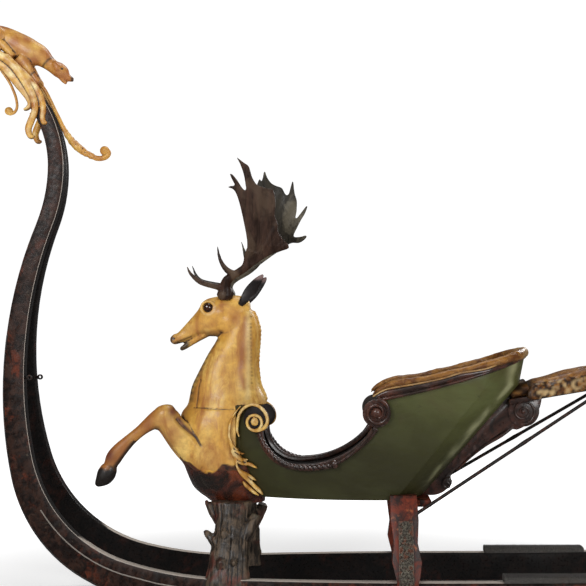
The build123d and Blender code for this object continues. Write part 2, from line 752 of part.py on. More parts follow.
# Driver's straddle seat
with BuildPart() as saddle_beam:
    with BuildSketch(Plane.XZ):
        with BuildLine():
            run = BEAM_END_X - BEAM_FOOT[0]
            low_end = (BEAM_END_X, BEAM_FOOT[1] + run * BEAM_SLOPE)
            Polyline(BEAM_FOOT, low_end, (low_end[0], low_end[1] + BEAM_DEPTH),
                     (BEAM_FOOT[0], BEAM_FOOT[1] + BEAM_DEPTH), close=True)
        make_face()
    extrude(amount=BEAM_HALF, both=True)
    add(hull_out, mode=Mode.SUBTRACT)
save(saddle_beam.part, "saddle_beam")


def beam_top(x):
    """Height of the beam's top at x."""
    return BEAM_FOOT[1] + BEAM_DEPTH + (x - BEAM_FOOT[0]) * BEAM_SLOPE


with BuildPart() as saddle_pad:
    with BuildSketch(Plane.XZ):
        with BuildLine():
            top = ThreePointArc(*SADDLE_TOP)
            front_x, end_x = SADDLE_TOP[0][0], SADDLE_TOP[-1][0]
            Polyline(top @ 0, (front_x, beam_top(front_x)), (end_x, beam_top(end_x)), top @ 1)
        make_face()
    extrude(amount=SADDLE_HALF, both=True)
    add(hull_out, mode=Mode.SUBTRACT)
    add(body_hull(PAD_PROUD + FIT), mode=Mode.SUBTRACT)
save(saddle_pad.part, "saddle_pad")

with BuildPart() as saddle_bracket:
    add(plate(BRACKET_OUTLINE, BRACKET_HALF))
    for place, radius in ((VOLUTE, VOLUTE_R), (KNOB, KNOB_R)):
        with BuildSketch(Plane.XZ):
            with Locations(place):
                Circle(radius)
        extrude(amount=BRACKET_HALF + VOLUTE_PROUD, both=True)
    add(hull_out, mode=Mode.SUBTRACT)
    add([rear_bolster.part, saddle_beam.part, saddle_pad.part], mode=Mode.SUBTRACT)
save(saddle_bracket.part, "saddle_bracket")

with BuildPart() as stay:
    add(limb([(*STAY_FOOT, STAY_R), (*STAY_HEAD, STAY_R)]))
    add(rear_post.part, mode=Mode.SUBTRACT)
    add(saddle_beam.part, mode=Mode.SUBTRACT)
save_pair(stay.part, "stay")

with BuildPart() as foot_mat:
    with BuildSketch(Plane.XY.offset(RUNNER_DEPTH)):
        with Locations((sum(MAT_X) / 2, -GAUGE / 2)):
            Rectangle(MAT_X[1] - MAT_X[0], 2 * MAT_HALF)
    extrude(amount=MAT_HEIGHT)
    add(runner_outline.part, mode=Mode.SUBTRACT)
save_pair(foot_mat.part, "foot_mat")

# Finial
with BuildPart() as prow:
    add(runner.part)
    mirror(about=Plane.XZ)
    split(bisect_by=Plane.XY.offset(PROW_LOW_Z), keep=Keep.TOP)
with BuildPart() as foliage:
    add(plate(FOLIAGE_OUTLINE, FOLIAGE_HALF))
    add(prow.part, mode=Mode.SUBTRACT)
save(foliage.part, "finial_foliage")

with BuildPart() as hound:
    add(plate(HOUND_OUTLINE, HOUND_HALF))
    add(plate(FOLIAGE_OUTLINE, FOLIAGE_HALF), mode=Mode.SUBTRACT)
    add(prow.part, mode=Mode.SUBTRACT)
save(hound.part, "finial_hound")

with BuildPart() as tendrils:
    for tendril in TENDRILS:
        add(limb(tendril))
    add(plate(FOLIAGE_OUTLINE, FOLIAGE_HALF), mode=Mode.SUBTRACT)
    add(prow.part, mode=Mode.SUBTRACT)
save(tendrils.part, "finial_tendrils")
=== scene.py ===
import math

import bmesh
import bpy
from bpy.props import (
    FloatProperty, FloatVectorProperty, IntProperty, PointerProperty,
)
from mathutils.bvhtree import BVHTree
from mathutils import Matrix, Vector, noise


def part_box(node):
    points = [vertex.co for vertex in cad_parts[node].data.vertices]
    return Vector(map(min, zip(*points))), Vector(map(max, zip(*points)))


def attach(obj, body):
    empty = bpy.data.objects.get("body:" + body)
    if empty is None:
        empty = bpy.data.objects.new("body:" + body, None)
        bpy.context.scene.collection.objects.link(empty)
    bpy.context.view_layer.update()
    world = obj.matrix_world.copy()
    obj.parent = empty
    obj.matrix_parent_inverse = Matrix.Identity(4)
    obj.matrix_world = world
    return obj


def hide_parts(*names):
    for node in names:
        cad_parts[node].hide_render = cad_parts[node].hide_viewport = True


bl_info = {
    "name": "Carved Sleigh",
    "version": (1, 0, 0),
    "blender": (4, 5, 0),
    "location": "3D View > Sidebar > Sleigh",
    "description": "Dresses the carved stag sleigh: carving, paint, leather, iron and studio",
    "category": "Object",
}

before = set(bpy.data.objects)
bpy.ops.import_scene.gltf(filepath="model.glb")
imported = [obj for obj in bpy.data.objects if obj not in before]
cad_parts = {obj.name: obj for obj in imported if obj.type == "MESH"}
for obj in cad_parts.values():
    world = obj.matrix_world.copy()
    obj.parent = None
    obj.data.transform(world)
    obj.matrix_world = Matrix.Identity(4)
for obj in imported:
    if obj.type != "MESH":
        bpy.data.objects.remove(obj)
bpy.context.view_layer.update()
MM = 0.001
FORWARD = Vector((1, 0, 0))
SIDEWAYS = Vector((0, 1, 0))
UPWARD = Vector((0, 0, 1))

# Each side of the sleigh: whether it is the near one, its name, and the sign of its y
SIDES = ((True, "left", -1), (False, "right", 1))

# Plan sections of the seat body: z, front x, front half width, widest x, widest half
# width, corner x, corner half width, back x
BODY_SECTIONS = [
    (338, -210, 80, 60, 168, 215, 172, 312),
    (500, -295, 90, 40, 198, 345, 202, 455),
    (700, -295, 94, 60, 222, 500, 214, 628),
    (900, -295, 96, 80, 236, 530, 226, 668),
]


def colour(name, what, rgb):
    """A colour that a user of the panel may change."""
    return FloatVectorProperty(name=name, description=what, default=rgb, size=3,
                               subtype="COLOR", min=0, max=1)


class SleighPaint(bpy.types.PropertyGroup):
    """Colours of the paint, leather and metal."""

    gold: colour("Gold", "Old yellow gilding of the stag", (0.60, 0.31, 0.042))
    gold_pale: colour("Pale gold", "Rubbed high places of the gilding", (0.72, 0.47, 0.12))
    gold_brown: colour("Gold shade", "Brown wash in the gilding", (0.38, 0.14, 0.020))
    green: colour("Green", "Paint of the seat body", (0.062, 0.066, 0.015))
    # The two greens below: rubbed patches that show mostly where light is painted high up at the
    # back, and painted shade low down and towards the front.
    green_rubbed_and_lit: colour("Green, rubbed", "Rubbed places of the green paint", (0.088, 0.098, 0.030))
    green_shaded: colour("Green, dirty", "Dirt low on the green paint", (0.030, 0.028, 0.009))
    dark: colour("Dark wood", "Stained carving of rims, rail and bracket", (0.022, 0.011, 0.008))
    leather: colour("Leather", "Saddle leather", (0.30, 0.135, 0.026))
    antler: colour("Antler", "Weathered antler on the near side", (0.044, 0.018, 0.009))
    iron: colour("Iron", "Forged iron", (0.018, 0.016, 0.015))


class SleighCarving(bpy.types.PropertyGroup):
    """Sizes of the carving."""

    stag_voxel: FloatProperty(name="Stag detail", description="Grain of the stag's surface",
                              default=0.0036, unit="LENGTH", min=0.002, max=0.01)
    rope_radius: FloatProperty(name="Rope radius", description="Radius of the carved rope",
                               default=0.0085, unit="LENGTH", min=0.002, max=0.02)
    rope_lay: FloatProperty(name="Rope lay", description="Length of one turn of the rope's strands",
                            default=0.045, unit="LENGTH", min=0.01, max=0.2)
    bark_depth: FloatProperty(name="Bark depth", description="Depth of the grooves in the bark",
                              default=0.0045, unit="LENGTH", min=0, max=0.02)
    cloth_frames: IntProperty(name="Cloth frames", description="Steps for which a pad is inflated",
                              default=20, min=1, max=40)


class SleighStudio(bpy.types.PropertyGroup):
    """Camera and light."""

    lens: FloatProperty(name="Lens", description="Focal length of the camera", default=67.4,
                        unit="CAMERA", min=20, max=200)
    distance: FloatProperty(name="Distance", description="From the camera to the sleigh's middle",
                            default=3.62, unit="LENGTH", min=1, max=20)
    height: FloatProperty(name="Height", description="Height of the camera", default=0.789,
                          unit="LENGTH", min=0, max=3)
    key: FloatProperty(name="Key light", description="Power of the main light", default=112,
                       unit="POWER", min=0, max=1000)
    sky: FloatProperty(name="Surround", description="Brightness of the white surround",
                       default=1.05, min=0, max=5)
    soft: FloatProperty(name="Soft light", description="Light that the surround throws",
                        default=0.085, min=0, max=5)


# ---- Surfaces and outlines

def clamped(value, top=1):
    """A value kept between 0 and a top."""
    return min(max(value, 0), top)


def between(rows, z):
    """The row of a table at a place z of its first column, between its rows."""
    for low, high in zip(rows, rows[1:]):
        if z <= high[0] or high is rows[-1]:
            t = clamped((z - low[0]) / (high[0] - low[0]))
            return [a + (b - a) * t for a, b in zip(low, high)]


def circle_through(a, b, c):
    """Centre and radius of the circle through three points of a plane."""
    (ax, ay), (bx, by), (cx, cy) = a, b, c
    d = 2 * (ax * (by - cy) + bx * (cy - ay) + cx * (ay - by))
    u = ((ax * ax + ay * ay) * (by - cy) + (bx * bx + by * by) * (cy - ay)
         + (cx * cx + cy * cy) * (ay - by)) / d
    v = ((ax * ax + ay * ay) * (cx - bx) + (bx * bx + by * by) * (ax - cx)
         + (cx * cx + cy * cy) * (bx - ax)) / d
    return u, v, math.hypot(ax - u, ay - v)


def wall_y(x, z):
    """Half width of the seat body's outside at x and z, in mm."""
    _, front, wf, xw, ww, xc, wc, back = between(BODY_SECTIONS, z)
    if x <= xc:
        u, v, r = circle_through((front, wf), (xw, ww), (xc, wc))
        return v + math.sqrt(max(r * r - (min(max(x, front), xc) - u) ** 2, 0))
    u, _, r = circle_through((xc, wc), (back, 0), (xc, -wc))
    return math.sqrt(max(r * r - (min(x, back) - u) ** 2, 0))


def middle_plane(x, z):
    """The sleigh's middle plane, as a surface that leaves lie on."""
    return 0


def flowing(rows, per=4):
    """More rows between those of a table, on a smooth curve through them."""
    out = []
    for i in range(len(rows) - 1):
        p0, p1 = rows[max(i - 1, 0)], rows[i]
        p2, p3 = rows[i + 1], rows[min(i + 2, len(rows) - 1)]
        for k in range(per):
            t = k / per
            out.append(tuple(
                0.5 * (2 * b + (c - a) * t + (2 * a - 5 * b + 4 * c - d) * t * t
                       + (3 * b - a - 3 * c + d) * t ** 3)
                for a, b, c, d in zip(p0, p1, p2, p3)))
    out.append(tuple(rows[-1]))
    return out


def spiral(centre, radii, start, step, count, widths, growth=1):
    """Rows of x, z and half width along the band of a scroll, from its inner end outwards."""
    rows = []
    for k in range(count):
        share = k / (count - 1)
        angle = math.radians(start + step * k)
        radius = radii[0] + (radii[1] - radii[0]) * share ** growth
        rows.append((centre[0] + radius * math.cos(angle), centre[1] + radius * math.sin(angle),
                     widths[0] + (widths[1] - widths[0]) * share))
    return rows


# ---- Modelling

def across(points, i, axis=SIDEWAYS):
    """Two unit axes across a line at its point i: one square to an axis, one square to both."""
    along = points[min(i + 1, len(points) - 1)] - points[max(i - 1, 0)]
    first = along.cross(axis).normalized()
    return first, first.cross(along).normalized()


def placed(centre, across, up):
    """The matrix that lays a unit circle at a centre, with two half axes."""
    along = across.cross(up).normalized()
    return Matrix((
        (across.x, up.x, along.x, centre.x), (across.y, up.y, along.y, centre.y),
        (across.z, up.z, along.z, centre.z), (0, 0, 0, 1)))


def loft(bm, stations, sides=20):
    """A closed skin over rings, each given by its centre and two half axes."""
    at = placed(*stations[0])
    ring = bmesh.ops.create_circle(bm, cap_ends=False, segments=sides, radius=1,
                                   matrix=at)["verts"]
    members = set(ring)
    edges = [e for e in {e for v in ring for e in v.link_edges} if set(e.verts) <= members]
    ends = [edges]
    made = list(ring)
    for station in stations[1:]:
        to = placed(*station)
        grown = bmesh.ops.extrude_edge_only(bm, edges=edges)["geom"]
        ring = [g for g in grown if isinstance(g, bmesh.types.BMVert)]
        members = set(ring)
        edges = [g for g in grown if isinstance(g, bmesh.types.BMEdge)
                 and set(g.verts) <= members]
        bmesh.ops.transform(bm, matrix=to @ at.inverted(), verts=ring)
        made += ring
        at = to
    ends.append(edges)
    for end in ends:
        bmesh.ops.edgeloop_fill(bm, edges=end)
    return made


def limb(bm, rows, sides=20, per=3, near=True, axis=SIDEWAYS):
    """A limb through rows of x, y, z, half width and half depth, in mm. A row without a half
    depth is round. y is the distance from the middle plane, on the near or the far side."""
    rows = [r if len(r) == 5 else (*r, r[3]) for r in rows]
    rows = flowing(rows, per) if per > 1 else rows
    turn = -1 if near else 1
    points = [Vector((r[0], turn * r[1], r[2])) * MM for r in rows]
    stations = []
    for i, row in enumerate(rows):
        up, side = across(points, i, axis)
        stations.append((points[i], side * max(row[3], 0.3) * MM, up * max(row[4], 0.3) * MM))
    return loft(bm, stations, sides)


def boss(bm, x, z, rows, sides, per, near=True):
    """A round knob that stands out sideways at x and z, from rows of y and radius, in mm."""
    return limb(bm, [(x, y, z, r) for y, r in rows], sides, per, near, FORWARD)


def stack(bm, rows, sides=32, per=4):
    """Level ovals on top of each other, from rows of z, front x, rear x and half width."""
    stations = []
    for z, front, rear, half in flowing(rows, per):
        centre = Vector(((front + rear) / 2, 0, z)) * MM
        stations.append((centre, Vector(((rear - front) / 2, 0, 0)) * MM,
                         Vector((0, half, 0)) * MM))
    return loft(bm, stations, sides)


def blade(bm, rows, lift, thick, surface, near=True, sides=10, per=3):
    """A carved leaf or ribbon that lies on a surface, from rows of x, z and half width."""
    turn = -1 if near else 1
    rows = flowing(rows, per)
    points = [Vector((x, turn * (surface(x, z) + lift), z)) * MM for x, z, _ in rows]
    stations = []
    for i, row in enumerate(rows):
        up, out = across(points, i)
        half = max(row[2], 0.4)
        stations.append((points[i], out * min(thick, half * 1.4) * MM, up * half * MM))
    return loft(bm, stations, sides)


def sheet_from(bm, outline, y, thick, per=3):
    """A flat plate with a flowing outline of x and z, in mm, its middle at y."""
    rows = flowing(list(outline) + [outline[0]], per)[:-1]
    verts = [bm.verts.new(Vector((x, y - thick / 2, z)) * MM) for x, z in rows]
    face = bm.faces.new(verts)
    grown = bmesh.ops.extrude_face_region(bm, geom=[face])["geom"]
    moved = [g for g in grown if isinstance(g, bmesh.types.BMVert)]
    bmesh.ops.translate(bm, vec=Vector((0, thick * MM, 0)), verts=moved)
    return verts + moved


def taken(mesh):
    """The bmesh of a mesh that isn't needed any more."""
    bm = bmesh.new()
    bm.from_mesh(mesh)
    bpy.data.meshes.remove(mesh)
    return bm


def relaxed(bm):
    """Evens out a skin a little."""
    bmesh.ops.smooth_vert(bm, verts=bm.verts, factor=0.5,
                          use_axis_x=True, use_axis_y=True, use_axis_z=True)
    return bm


def meld(bm, voxel, relax=2):
    """One skin over all the closed forms of a mesh, evened out."""
    mesh = bpy.data.meshes.new("meld")
    bmesh.ops.recalc_face_normals(bm, faces=bm.faces)
    bm.to_mesh(mesh)
    bm.free()
    rough = bpy.data.objects.new("meld", mesh)
    bpy.context.scene.collection.objects.link(rough)
    remesh = rough.modifiers.new("Remesh", "REMESH")
    remesh.mode = "VOXEL"
    remesh.voxel_size = voxel
    graph = bpy.context.evaluated_depsgraph_get()
    skin = bpy.data.meshes.new_from_object(rough.evaluated_get(graph))
    bpy.data.objects.remove(rough)
    bpy.data.meshes.remove(mesh)
    out = taken(skin)
    for _ in range(relax):
        relaxed(out)
    return out


def swell(bm, place, radius, push):
    """Raises or presses a round place, x, y, z and radius in mm, by a push along the normal."""
    bm.normal_update()
    middle = Vector(place) * MM
    for vert in bm.verts:
        d = (vert.co - middle).length / (radius * MM)
        if d < 1:
            vert.co += vert.normal * push * MM * (1 - d * d) ** 2


def near_line(co, line):
    """Distance in mm from a point to a line of x, z points seen from the side."""
    p = Vector((co.x, co.z)) / MM
    gaps = []
    for a, b in zip(line, line[1:]):
        a, b = Vector(a), Vector(b)
        t = clamped((p - a).dot(b - a) / (b - a).length_squared)
        gaps.append((p - a - (b - a) * t).length)
    return min(gaps)


def blot(p, x, z, wide, tall):
    """A soft spot at x and z seen from the side, 1 in its middle."""
    return math.exp(-((p.x - x) / wide) ** 2 - ((p.z - z) / tall) ** 2)


def add_hollows(bm, gain=9.0, passes=2):
    """Writes how far each place lies below its neighbours, for the dirt in the carving."""
    bm.normal_update()
    bm.verts.ensure_lookup_table()
    layer = bm.verts.layers.float.new("hollow")
    values = []
    for vert in bm.verts:
        around = [e.other_vert(vert).co for e in vert.link_edges]
        if not around:
            values.append(0)
            continue
        mean = sum(around, Vector()) / len(around)
        size = sum((co - vert.co).length for co in around) / len(around)
        values.append((mean - vert.co).dot(vert.normal) / max(size, 1e-6) * gain)
    bm.verts.index_update()
    for _ in range(passes):
        values = [0.5 * values[v.index] + 0.5 * sum(
            values[e.other_vert(v).index] for e in v.link_edges) / max(len(v.link_edges), 1)
            for v in bm.verts]
    for vert in bm.verts:
        vert[layer] = clamped(values[vert.index])


def tint(bm, name, share):
    """Writes a painted layer from a function of place in mm."""
    layer = bm.verts.layers.float.new(name)
    for vert in bm.verts:
        vert[layer] = clamped(share(vert.co / MM, vert.normal))


def as_piece(bm, name, finish, stands_for=(), angle=40, rounding=0):
    """Makes the finished object of a mesh and hands it to the frame."""
    bmesh.ops.recalc_face_normals(bm, faces=bm.faces)
    mesh = bpy.data.meshes.new(name)
    bm.to_mesh(mesh)
    bm.free()
    mesh.materials.append(finish)
    mesh.shade_smooth()
    mesh.set_sharp_from_angle(angle=math.radians(angle))
    piece = bpy.data.objects.new(name, mesh)
    bpy.context.scene.collection.objects.link(piece)
    if rounding:
        rounder = piece.modifiers.new("Rounding", "SUBSURF")
        rounder.levels = rounder.render_levels = rounding
    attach(piece, "root")
    if stands_for:
        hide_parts(*stands_for)
    return piece


def from_frame(node, edge=0.0, angle=30):
    """A copy of a frame node's mesh, its loose triangles joined and its sharp edges eased."""
    bm = bmesh.new()
    bm.from_mesh(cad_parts[node].data)
    bmesh.ops.remove_doubles(bm, verts=bm.verts, dist=2e-5)
    bmesh.ops.dissolve_limit(bm, angle_limit=math.radians(0.5), verts=bm.verts, edges=bm.edges)
    if edge:
        sharp = [e for e in bm.edges if len(e.link_faces) == 2
                 and e.calc_face_angle(0) > math.radians(angle)]
        bmesh.ops.bevel(bm, geom=sharp, offset=edge, segments=2, profile=0.5,
                        affect="EDGES", material=-1, clamp_overlap=True)
    return bm


def refined(bm, longest, rounds):
    """Splits the long edges of a frame node's copy, so that paint has places to change at."""
    bmesh.ops.triangulate(bm, faces=[f for f in bm.faces if len(f.verts) > 4])
    for _ in range(rounds):
        far_apart = [e for e in bm.edges if e.calc_length() > longest]
        bmesh.ops.subdivide_edges(bm, edges=far_apart, cuts=1)
    bm.normal_update()


def eased(node, finish, edge):
    """Replaces a frame node by its own shape with eased edges and smooth curves."""
    return as_piece(from_frame(node, edge), f"{node}_dressed", finish, (node,), angle=30)


# ---- Finishes

class Finish:
    """A short way to write a material's nodes."""

    def __init__(self, name, rough=0.5, metallic=0.0, coat=0.0, coat_rough=0.2, gloss=0.5):
        self.material = bpy.data.materials.new(name)
        self.material.use_nodes = True
        self.tree = self.material.node_tree
        self.shader = self.tree.nodes["Principled BSDF"]
        self.shader.inputs["Roughness"].default_value = rough
        self.shader.inputs["Metallic"].default_value = metallic
        self.shader.inputs["Specular IOR Level"].default_value = gloss
        self.shader.inputs["Coat Weight"].default_value = coat
        self.shader.inputs["Coat Roughness"].default_value = coat_rough
        self.place = self.add("ShaderNodeTexCoord").outputs["Object"]

    def add(self, kind, **links):
        made = self.tree.nodes.new(kind)
        for socket, value in links.items():
            self.feed(made.inputs[socket.replace("_", " ")], value)
        return made

    def feed(self, socket, value):
        if isinstance(value, bpy.types.NodeSocket):
            self.tree.links.new(value, socket)
        else:
            socket.default_value = value

    def stretched(self, scale, turn=(0, 0, 0)):
        mapping = self.add("ShaderNodeMapping", Vector=self.place)
        mapping.inputs["Scale"].default_value = scale
        mapping.inputs["Rotation"].default_value = [math.radians(t) for t in turn]
        return mapping.outputs["Vector"]

    def noise(self, scale, detail=5, rough=0.6, twist=0.0, at=None):
        return self.add("ShaderNodeTexNoise", Vector=at or self.place, Scale=scale, Detail=detail,
                        Roughness=rough, Distortion=twist).outputs["Fac"]

    def cells(self, scale):
        return self.add("ShaderNodeTexVoronoi", Vector=self.place,
                        Scale=scale).outputs["Distance"]

    def layer(self, name):
        made = self.add("ShaderNodeAttribute")
        made.attribute_name = name
        return made.outputs["Fac"]

    def span(self, value, low, high, to_low=0.0, to_high=1.0):
        made = self.add("ShaderNodeMapRange", Value=value)
        made.interpolation_type = "SMOOTHSTEP"
        for socket, number in (("From Min", low), ("From Max", high), ("To Min", to_low),
                               ("To Max", to_high)):
            made.inputs[socket].default_value = number
        return made.outputs["Result"]

    def sum(self, a, b, how="ADD"):
        made = self.add("ShaderNodeMath")
        made.operation = how
        self.feed(made.inputs[0], a)
        self.feed(made.inputs[1], b)
        return made.outputs["Value"]

    def mix(self, share, a, b):
        made = self.add("ShaderNodeMix")
        made.data_type = "RGBA"
        self.feed(made.inputs[0], share)
        for socket, value in ((6, a), (7, b)):
            self.feed(made.inputs[socket],
                      value if isinstance(value, bpy.types.NodeSocket) else (*value, 1))
        return made.outputs[2]

    def done(self, base, rough=None, height=None, relief=0.3, depth=0.002):
        self.feed(self.shader.inputs["Base Color"], base)
        if rough is not None:
            self.feed(self.shader.inputs["Roughness"], rough)
        if height is not None:
            made = self.add("ShaderNodeBump", Height=height)
            made.inputs["Strength"].default_value = relief
            made.inputs["Distance"].default_value = depth
            self.tree.links.new(made.outputs["Normal"], self.shader.inputs["Normal"])
        return self.material


def axis(finish, which):
    """The x, y or z of a place on the piece."""
    return finish.add("ShaderNodeSeparateXYZ", Vector=finish.place).outputs[which]


def gilding(paint):
    """Old yellow gilding with brown wash, dark hollows and rubbed heights, and painted shade on
    faces that turn down.
    """
    f = Finish("gilding", rough=0.45, coat=0.15)
    cloud = f.noise(9, 4, 0.6, 0.6, f.stretched((1, 1, 0.45)))
    fine = f.noise(70, 6, 0.65, 0.4)
    tone = f.mix(f.span(cloud, 0.38, 0.66), tuple(paint.gold), tuple(paint.gold_pale))
    wash = f.sum(f.span(f.noise(14, 5, 0.7, 1.2, f.stretched((1.3, 1.3, 0.35))), 0.47, 0.70), 0.85,
                 "MULTIPLY")
    tone = f.mix(wash, tone, tuple(paint.gold_brown))
    # The 'brown' layer: brown paint, and on the hound painted shade under it.
    tone = f.mix(f.sum(f.layer("brown"), 0.92, "MULTIPLY"), tone, (0.29, 0.088, 0.018))
    tone = f.mix(f.sum(f.layer("red"), 0.92, "MULTIPLY"), tone, (0.115, 0.022, 0.012))
    red = f.mix(f.span(f.noise(24, 5, 0.6), 0.4, 0.65), (0.020, 0.010, 0.007),
                (0.100, 0.020, 0.009))
    tone = f.mix(f.layer("below"), tone, red)
    tone = f.mix(f.layer("pale"), tone, (0.72, 0.57, 0.27))
    tone = f.mix(f.span(fine, 0.36, 0.62, 0.28, 0.0), tone, (0.25, 0.10, 0.02))
    tone = f.mix(f.span(f.layer("hollow"), 0.12, 0.62, 0.0, 0.93), tone, (0.035, 0.014, 0.006))
    # The 'dark' layer: dark paint, and painted shade on downward faces of the stag and the foliage.
    tone = f.mix(f.layer("dark"), tone, (0.012, 0.008, 0.006))
    return f.done(tone, f.span(fine, 0.3, 0.7, 0.36, 0.6), f.sum(fine, cloud), 0.35, 0.0015)


def body_green(paint):
    """Olive paint in rubbed patches, with painted light high up and towards the back, painted shade
    low down and towards the front, and a painted highlight line down the back.
    """
    f = Finish("body_green", rough=0.46, coat=0.05, coat_rough=0.3, gloss=0.3)
    cloud = f.noise(5, 5, 0.62, 0.8, f.stretched((0.8, 1, 1.4), (0, 24, 0)))
    fine = f.noise(55, 7, 0.7, 0.6, f.stretched((0.5, 1, 1.6), (0, 20, 0)))
    height = axis(f, "Z")
    back = axis(f, "X")
    # Painted light and shade: lighter high up and towards the back, darker low down and towards the
    # front.
    painted_light = f.span(f.sum(f.sum(height, 0.75, "MULTIPLY"), f.sum(back, 0.36, "MULTIPLY")), 0.36, 0.74)
    tone = f.mix(painted_light, tuple(paint.green_shaded), tuple(paint.green))
    # Rubbed patches, painted stronger where the painted light falls.
    tone = f.mix(f.sum(f.span(cloud, 0.40, 0.68), f.span(painted_light, 0.25, 1.0, 0.15, 0.75), "MULTIPLY"),
                 tone, tuple(paint.green_rubbed_and_lit))
    tone = f.mix(f.span(f.noise(3.2, 4, 0.6, 1.0), 0.50, 0.70, 0.0, 0.55), tone,
                 (0.060, 0.040, 0.014))
    tone = f.mix(f.span(fine, 0.60, 0.74, 0.0, 0.5), tone, (0.034, 0.030, 0.010))
    tone = f.mix(f.span(f.cells(180), 0.0, 0.25, 0.35, 0.0), tone, (0.045, 0.035, 0.015))
    # A painted highlight line down the back.
    tone = f.mix(f.span(f.layer("back_highlight"), 0.0, 1.0, 0.0, 0.85), tone, (0.27, 0.27, 0.14))
    tone = f.mix(f.layer("inside"), tone, (0.016, 0.009, 0.006))
    return f.done(tone, f.span(fine, 0.3, 0.7, 0.34, 0.58), fine, 0.22, 0.001)


def dark_carving(paint):
    """Dark stained and varnished wood with red-brown rubbing."""
    f = Finish("dark_carving", rough=0.36, coat=0.6, coat_rough=0.14)
    cloud = f.noise(16, 6, 0.65, 1.0)
    fine = f.noise(90, 5, 0.6)
    tone = f.mix(f.span(cloud, 0.42, 0.66), tuple(paint.dark), (0.075, 0.024, 0.014))
    tone = f.mix(f.span(f.noise(38, 4, 0.6, 0.5), 0.58, 0.72, 0.0, 0.55), tone,
                 (0.13, 0.075, 0.062))
    tone = f.mix(f.span(f.layer("hollow"), 0.15, 0.7, 0.0, 0.85), tone, (0.006, 0.004, 0.003))
    tone = f.mix(f.layer("pale"), tone, (0.30, 0.22, 0.20))
    return f.done(tone, f.span(fine, 0.3, 0.7, 0.26, 0.5), f.sum(cloud, fine), 0.3, 0.0015)


def belly_paint(paint):
    """Dark red-brown glossy paint, with gold that runs down from the chest in a wavy edge."""
    f = Finish("belly_paint", rough=0.32, coat=0.6, coat_rough=0.1)
    cloud = f.noise(9, 5, 0.62, 0.9)
    tone = f.mix(f.span(cloud, 0.40, 0.70), (0.012, 0.008, 0.006), (0.095, 0.018, 0.008))
    glow = f.span(f.sum(axis(f, "X"), 0.335), -0.05, 0.03)
    fire = f.sum(f.span(f.noise(15, 4, 0.6, 0.4), 0.45, 0.65), glow, "MULTIPLY")
    tone = f.mix(f.sum(fire, 0.55, "MULTIPLY"), tone, (0.27, 0.055, 0.012))
    gold = f.mix(f.span(f.noise(26, 5, 0.6), 0.38, 0.62), tuple(paint.gold_brown),
                 tuple(paint.gold))
    tone = f.mix(f.layer("gold"), tone, gold)
    return f.done(tone, f.span(f.noise(60, 4, 0.6), 0.35, 0.7, 0.2, 0.42), cloud, 0.25, 0.002)


def runner_paint():
    """Marbled dark brown and black paint with worn red patches, and a light line that is a painted
    highlight on the top faces, upper edges and bead.
    """
    f = Finish("runner_paint", rough=0.42, gloss=0.16)
    wide = f.noise(6.5, 6, 0.66, 1.6)
    small = f.noise(27, 6, 0.7, 0.9)
    fine = f.noise(120, 4, 0.6)
    tone = f.mix(f.span(small, 0.42, 0.62), (0.010, 0.006, 0.005), (0.034, 0.016, 0.011))
    high = f.span(axis(f, "Z"), 0.9, 1.3, 1.0, 0.12)
    patch = f.sum(f.span(wide, 0.54, 0.66), f.span(small, 0.35, 0.6), "MULTIPLY")
    tone = f.mix(f.sum(patch, high, "MULTIPLY"), tone, (0.105, 0.024, 0.011))
    tone = f.mix(f.span(f.noise(48, 5, 0.7, 0.5), 0.60, 0.72, 0.0, 0.5), tone, (0.12, 0.095, 0.065))
    # Painted highlight from the 'line' layer.
    tone = f.mix(f.layer("line"), tone, (0.62, 0.55, 0.48))
    tone = f.mix(f.layer("inner"), tone, (0.007, 0.007, 0.007))
    return f.done(tone, f.span(fine, 0.3, 0.7, 0.22, 0.5), f.sum(small, fine), 0.3, 0.0012)


def post_paint():
    """Worn red-orange paint over dark wood."""
    f = Finish("post_paint", rough=0.5, coat=0.05, gloss=0.25)
    cloud = f.noise(22, 6, 0.68, 0.8, f.stretched((1, 1, 0.4)))
    tone = f.mix(f.span(cloud, 0.40, 0.62), (0.020, 0.009, 0.007), (0.17, 0.026, 0.010))
    tone = f.mix(f.span(f.noise(34, 5, 0.65), 0.56, 0.70, 0.0, 0.75), tone, (0.42, 0.12, 0.040))
    return f.done(tone, f.span(cloud, 0.3, 0.7, 0.35, 0.6), cloud, 0.5, 0.0015)


def bark_paint():
    """Carved bark, dark brown paint worn to red on its ridges."""
    f = Finish("bark_paint", rough=0.5, coat=0.04, gloss=0.4)
    grain = f.noise(30, 7, 0.68, 0.7, f.stretched((1.6, 1.6, 0.35)))
    tone = f.mix(f.span(grain, 0.40, 0.66), (0.022, 0.016, 0.011), (0.120, 0.082, 0.052))
    tone = f.mix(f.span(f.noise(13, 4, 0.6, 0.6), 0.54, 0.70, 0.0, 0.7), tone, (0.12, 0.022, 0.012))
    tone = f.mix(f.span(f.noise(9, 3, 0.6), 0.56, 0.7, 0.0, 0.5), tone, (0.085, 0.075, 0.045))
    tone = f.mix(f.span(f.layer("hollow"), 0.10, 0.5, 0.0, 0.9), tone, (0.006, 0.004, 0.003))
    return f.done(tone, f.span(grain, 0.3, 0.7, 0.32, 0.62), grain, 0.6, 0.002)


